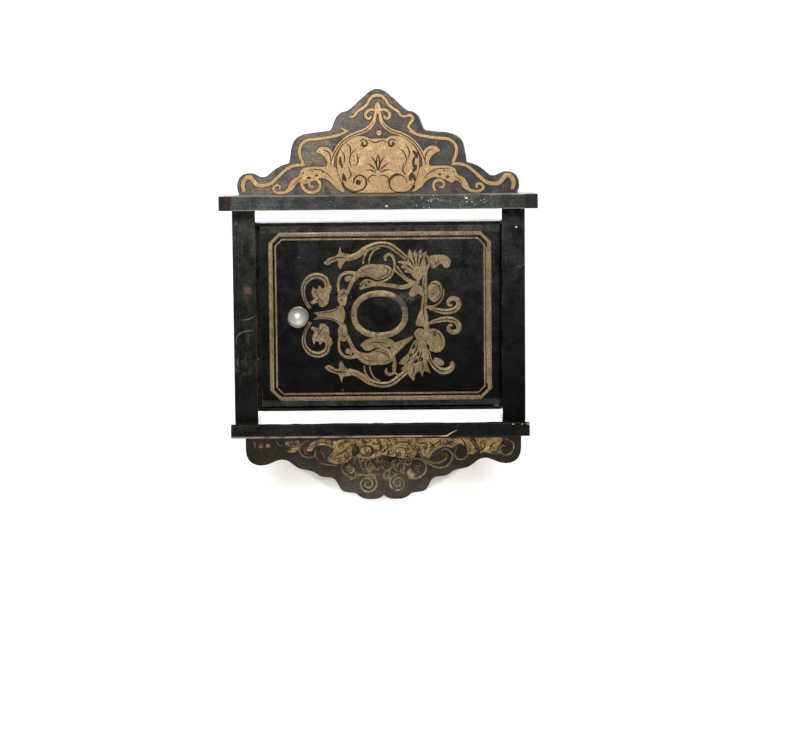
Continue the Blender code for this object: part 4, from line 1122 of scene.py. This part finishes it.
def gild():
    """Mixes the golds and the dark lines' colours, then draws the ornament."""
    pale, deep, worn = (0.37, 0.27, 0.13), (0.22, 0.15, 0.062), (0.065, 0.045, 0.022)
    # The crest's, the door's and the apron's golds are one gilding: the door's are darker, partly their own
    # wear and partly painted shade for light that weakens downward; the apron's is brighter, painted light
    # that makes up for the shade under the bottom shelf.
    golds = {
        "scroll": (pale, deep, worn, 0.5, scroll_marks),
        "ring": (pale, deep, worn, 0.7, ring_marks),
        "border": ((0.34, 0.245, 0.12), (0.205, 0.14, 0.062), worn, 0.35),
        "crest": ((0.70, 0.475, 0.22), (0.50, 0.31, 0.13), (0.28, 0.165, 0.075), 0.2),
        "apron": ((0.98, 0.66, 0.26), (0.52, 0.35, 0.15), (0.17, 0.12, 0.07), 0.95),
        "apron_line": ((0.46, 0.34, 0.20), (0.27, 0.20, 0.12), (0.12, 0.09, 0.055), 0.9),
    }
    inks = {
        "apron_shade": ("apron_umber", (0.045, 0.036, 0.024), (0.13, 0.10, 0.065), 0.7),
        "apron_ink": ("vein_brown", (0.035, 0.027, 0.018), (0.10, 0.075, 0.05), 0.6),
        "ink": ("vein_lacquer", (0.008, 0.007, 0.006), (0.05, 0.045, 0.035), 0.4),
        "crest_ink": ("vein_umber", (0.065, 0.040, 0.022), (0.13, 0.09, 0.055), 0.6),
    }
    materials = {key: gilding("gilt_" + key, *look) for key, look in golds.items()}
    for key, (name, dark, light, amount) in inks.items():
        materials[key] = lacquer(name, dark, light, ALONG_X, amount, wear=0.2)
    gild_door(materials)
    gild_crest(materials)
    gild_apron(materials)


def scratch_stiles():
    """Two pale, curving scratches and a short one on the left stile, and one on the right stile."""
    scratch = Relief("stile_scratches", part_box("left_stile")[0].y, 0, 0, BED)
    scratch.stroke([(-139, -2.0), (-133, -1.6), (-125.6, 1.6)], [0.3, 0.9, 0.4])
    scratch.stroke([(-145, -26), (-144.6, -20), (-139, -14.6), (-127.6, -12.6)], [0.2, 0.7, 1.1, 0.4])
    scratch.stroke([(-143, -50), (-144.2, -46), (-143.4, -41)], [0.3, 1.1, 0.3])
    scratch.stroke([(139.5, 49), (143, 49.6), (147.5, 52.6)], [0.2, 0.8, 0.3])
    scratch.finish(bare_wood("scratched_lacquer", (0.20, 0.165, 0.13), (0.075, 0.060, 0.045), ALONG_X),
        "cabinet")


def scratch_shelf():
    """The split of bare wood that runs up from the bottom shelf's lower arris."""
    scratch = Relief("shelf_scratch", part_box("bottom_shelf")[0].y, 0, 0, UNDER_HEIGHT)
    scratch.stroke([(60, -119.6), (67, -119.2), (70.4, -117), (77, -113.6)], [0.7, 1.7, 1.4, 0.3])
    scratch.finish(bare_wood("scratched_wood", (0.62, 0.38, 0.24), (0.40, 0.22, 0.13), ALONG_X), "cabinet")


# ---- stage

def build_world():
    """White to the eye everywhere; it lights the object from behind, above and the sides, and
    is dim on the camera's side, so that black lacquer stays black."""
    world = bpy.data.worlds.new("soft_white")
    bpy.context.scene.world = world
    world.use_nodes = True
    nodes, links = world.node_tree.nodes, world.node_tree.links
    direction = nodes.new("ShaderNodeSeparateXYZ")
    links.new(nodes.new("ShaderNodeTexCoord").outputs["Generated"], direction.inputs[0])
    around = nodes.new("ShaderNodeMapRange")
    around.interpolation_type = "SMOOTHSTEP"
    links.new(direction.outputs["Y"], around.inputs[0])
    for index, value in enumerate((-TURN_OF_SKY, TURN_OF_SKY, FRONT_DIM, REAR_BRIGHT), 1):
        around.inputs[index].default_value = value
    strength = nodes.new("ShaderNodeMix")
    links.new(nodes.new("ShaderNodeLightPath").outputs["Is Camera Ray"], strength.inputs[0])
    links.new(around.outputs[0], strength.inputs[2])
    strength.inputs[3].default_value = 1.0
    links.new(strength.outputs[0], nodes["Background"].inputs["Strength"])
    nodes["Background"].inputs["Color"].default_value = (1, 1, 1, 1)


def add_sheet(name, place, turn, material):
    """A square sheet for the floor or the backdrop."""
    bm = bmesh.new()
    bmesh.ops.create_grid(bm, x_segments=1, y_segments=1, size=SHEET_HALF)
    mesh = bpy.data.meshes.new(name)
    bm.to_mesh(mesh)
    bm.free()
    sheet = bpy.data.objects.new(name, mesh)
    bpy.context.scene.collection.objects.link(sheet)
    sheet.location = place
    sheet.rotation_euler = turn
    mesh.materials.append(material)
    return sheet


def apron_shadow(shader):
    """White wall with the apron's pale shadow below its scallops: a warm band that ends in a
    bow under the middle, and a darker line close to the edge."""
    position = shader.node("NewGeometry").outputs["Position"]
    place = shader.node("SeparateXYZ", Vector=position).outputs
    height, aside = place["Z"], shader.math("ABSOLUTE", place["X"])
    lobes, shoulders = (0.025, -0.192), (0.104, -0.1565)  # the scallops' edge, at two places
    middle, sides = (0.0, -0.208), (0.042, -0.193)  # the band's lower end, at two places
    scallops = shader.span(aside, lobes[0], shoulders[0], lobes[1], shoulders[1])
    bow = shader.span(aside, middle[0], sides[0], middle[1], sides[1])
    band = shader.span(shader.minus(height, bow), -0.004, 0.020)
    band = shader.times(band, shader.span(aside, 0.142, 0.096))
    band = shader.times(band, shader.span(height, -0.115, -0.135))
    close = shader.span(shader.minus(scallops, height), 0.006, 0.0)
    close = shader.times(close, shader.span(aside, 0.105, 0.075))
    glow = shader.mix(band, (1.0, 1.0, 0.99), (0.63, 0.60, 0.53))
    return shader.mix(shader.times(band, close), glow, (0.40, 0.37, 0.33))


def wall_material():
    """Glowing white, but for the apron's shadow. It is clear from behind and at a slant, and
    doesn't light the object."""
    shader = Shader("wall")
    nodes, links = shader.tree.nodes, shader.tree.links
    glow = apron_shadow(shader)
    seen = nodes.new("ShaderNodeLightPath").outputs["Is Camera Ray"]
    shader.feed(shader.main.inputs["Emission Color"], glow)
    shader.feed(shader.main.inputs["Emission Strength"], shader.span(seen, 0, 1, WALL_IN_GLOSS, 1.0))
    shader.finish((0.3, 0.3, 0.3), 1.0)
    clear = nodes.new("ShaderNodeBsdfTransparent")
    choice = nodes.new("ShaderNodeMixShader")
    behind = nodes.new("ShaderNodeNewGeometry").outputs["Backfacing"]
    slanted = shader.span(nodes.new("ShaderNodeLayerWeight").outputs["Facing"], WALL_CLEAR_FROM, WALL_CLEAR)
    links.new(shader.math("MAXIMUM", behind, slanted), choice.inputs[0])
    links.new(shader.main.outputs[0], choice.inputs[1])
    links.new(clear.outputs[0], choice.inputs[2])
    links.new(choice.outputs[0], nodes["Material Output"].inputs["Surface"])
    return shader.material


def build_stage():
    build_world()
    shader = Shader("floor")
    shader.feed(shader.main.inputs["Emission Color"], (1.0, 1.0, 1.0))
    seen = shader.tree.nodes.new("ShaderNodeLightPath").outputs["Is Camera Ray"]
    shader.feed(shader.main.inputs["Emission Strength"], shader.span(seen, 0, 1, FLOOR_GLOW, FLOOR_SEEN))
    floor = shader.finish((0.93, 0.93, 0.92), 0.9)
    add_sheet("floor", (0, 0, -FLOOR_DROP), (0, 0, 0), floor)
    wall = add_sheet("wall", (0, -WALL_INSET, 0), (math.radians(90), 0, 0), wall_material())
    wall.visible_diffuse = False
    wall.visible_shadow = False
    wall.visible_transmission = False


def add_light(name, place, target, size, power, colour=(1, 1, 1)):
    light = bpy.data.lights.new(name, "AREA")
    light.shape = "DISK"
    light.size = size
    light.energy = power
    light.color = colour
    obj = bpy.data.objects.new(name, light)
    bpy.context.scene.collection.objects.link(obj)
    obj.location = place
    toward = Vector(target) - Vector(place)
    obj.rotation_euler = toward.to_track_quat("-Z", "Y").to_euler()


def build_camera():
    data = bpy.data.cameras.new("camera")
    data.lens = CAMERA_LENS
    camera = bpy.data.objects.new("camera", data)
    bpy.context.scene.collection.objects.link(camera)
    turn = Matrix.Rotation(math.radians(CAMERA_YAW), 4, "Z")
    turn @= Matrix.Rotation(math.radians(90 + CAMERA_PITCH), 4, "X")
    turn @= Matrix.Rotation(math.radians(CAMERA_ROLL), 4, "Z")
    camera.matrix_world = Matrix.Translation(CAMERA_PLACE) @ turn
    bpy.context.scene.camera = camera


paint_boards()
paint_metal()
paint(["knob"], plated_knob_material())
gild()
scratch_stiles()
scratch_shelf()
build_stage()
add_light("key", place=(-0.12, -1.25, 0.60), target=(0, 0, 0.05), size=0.36, power=14)
add_light("fill", place=(0.1, -0.75, -0.80), target=(0, 0, -0.15), size=0.5, power=2.6,
    colour=(1.0, 0.97, 0.93))
build_camera()
bpy.context.scene.view_settings.view_transform = "Standard"
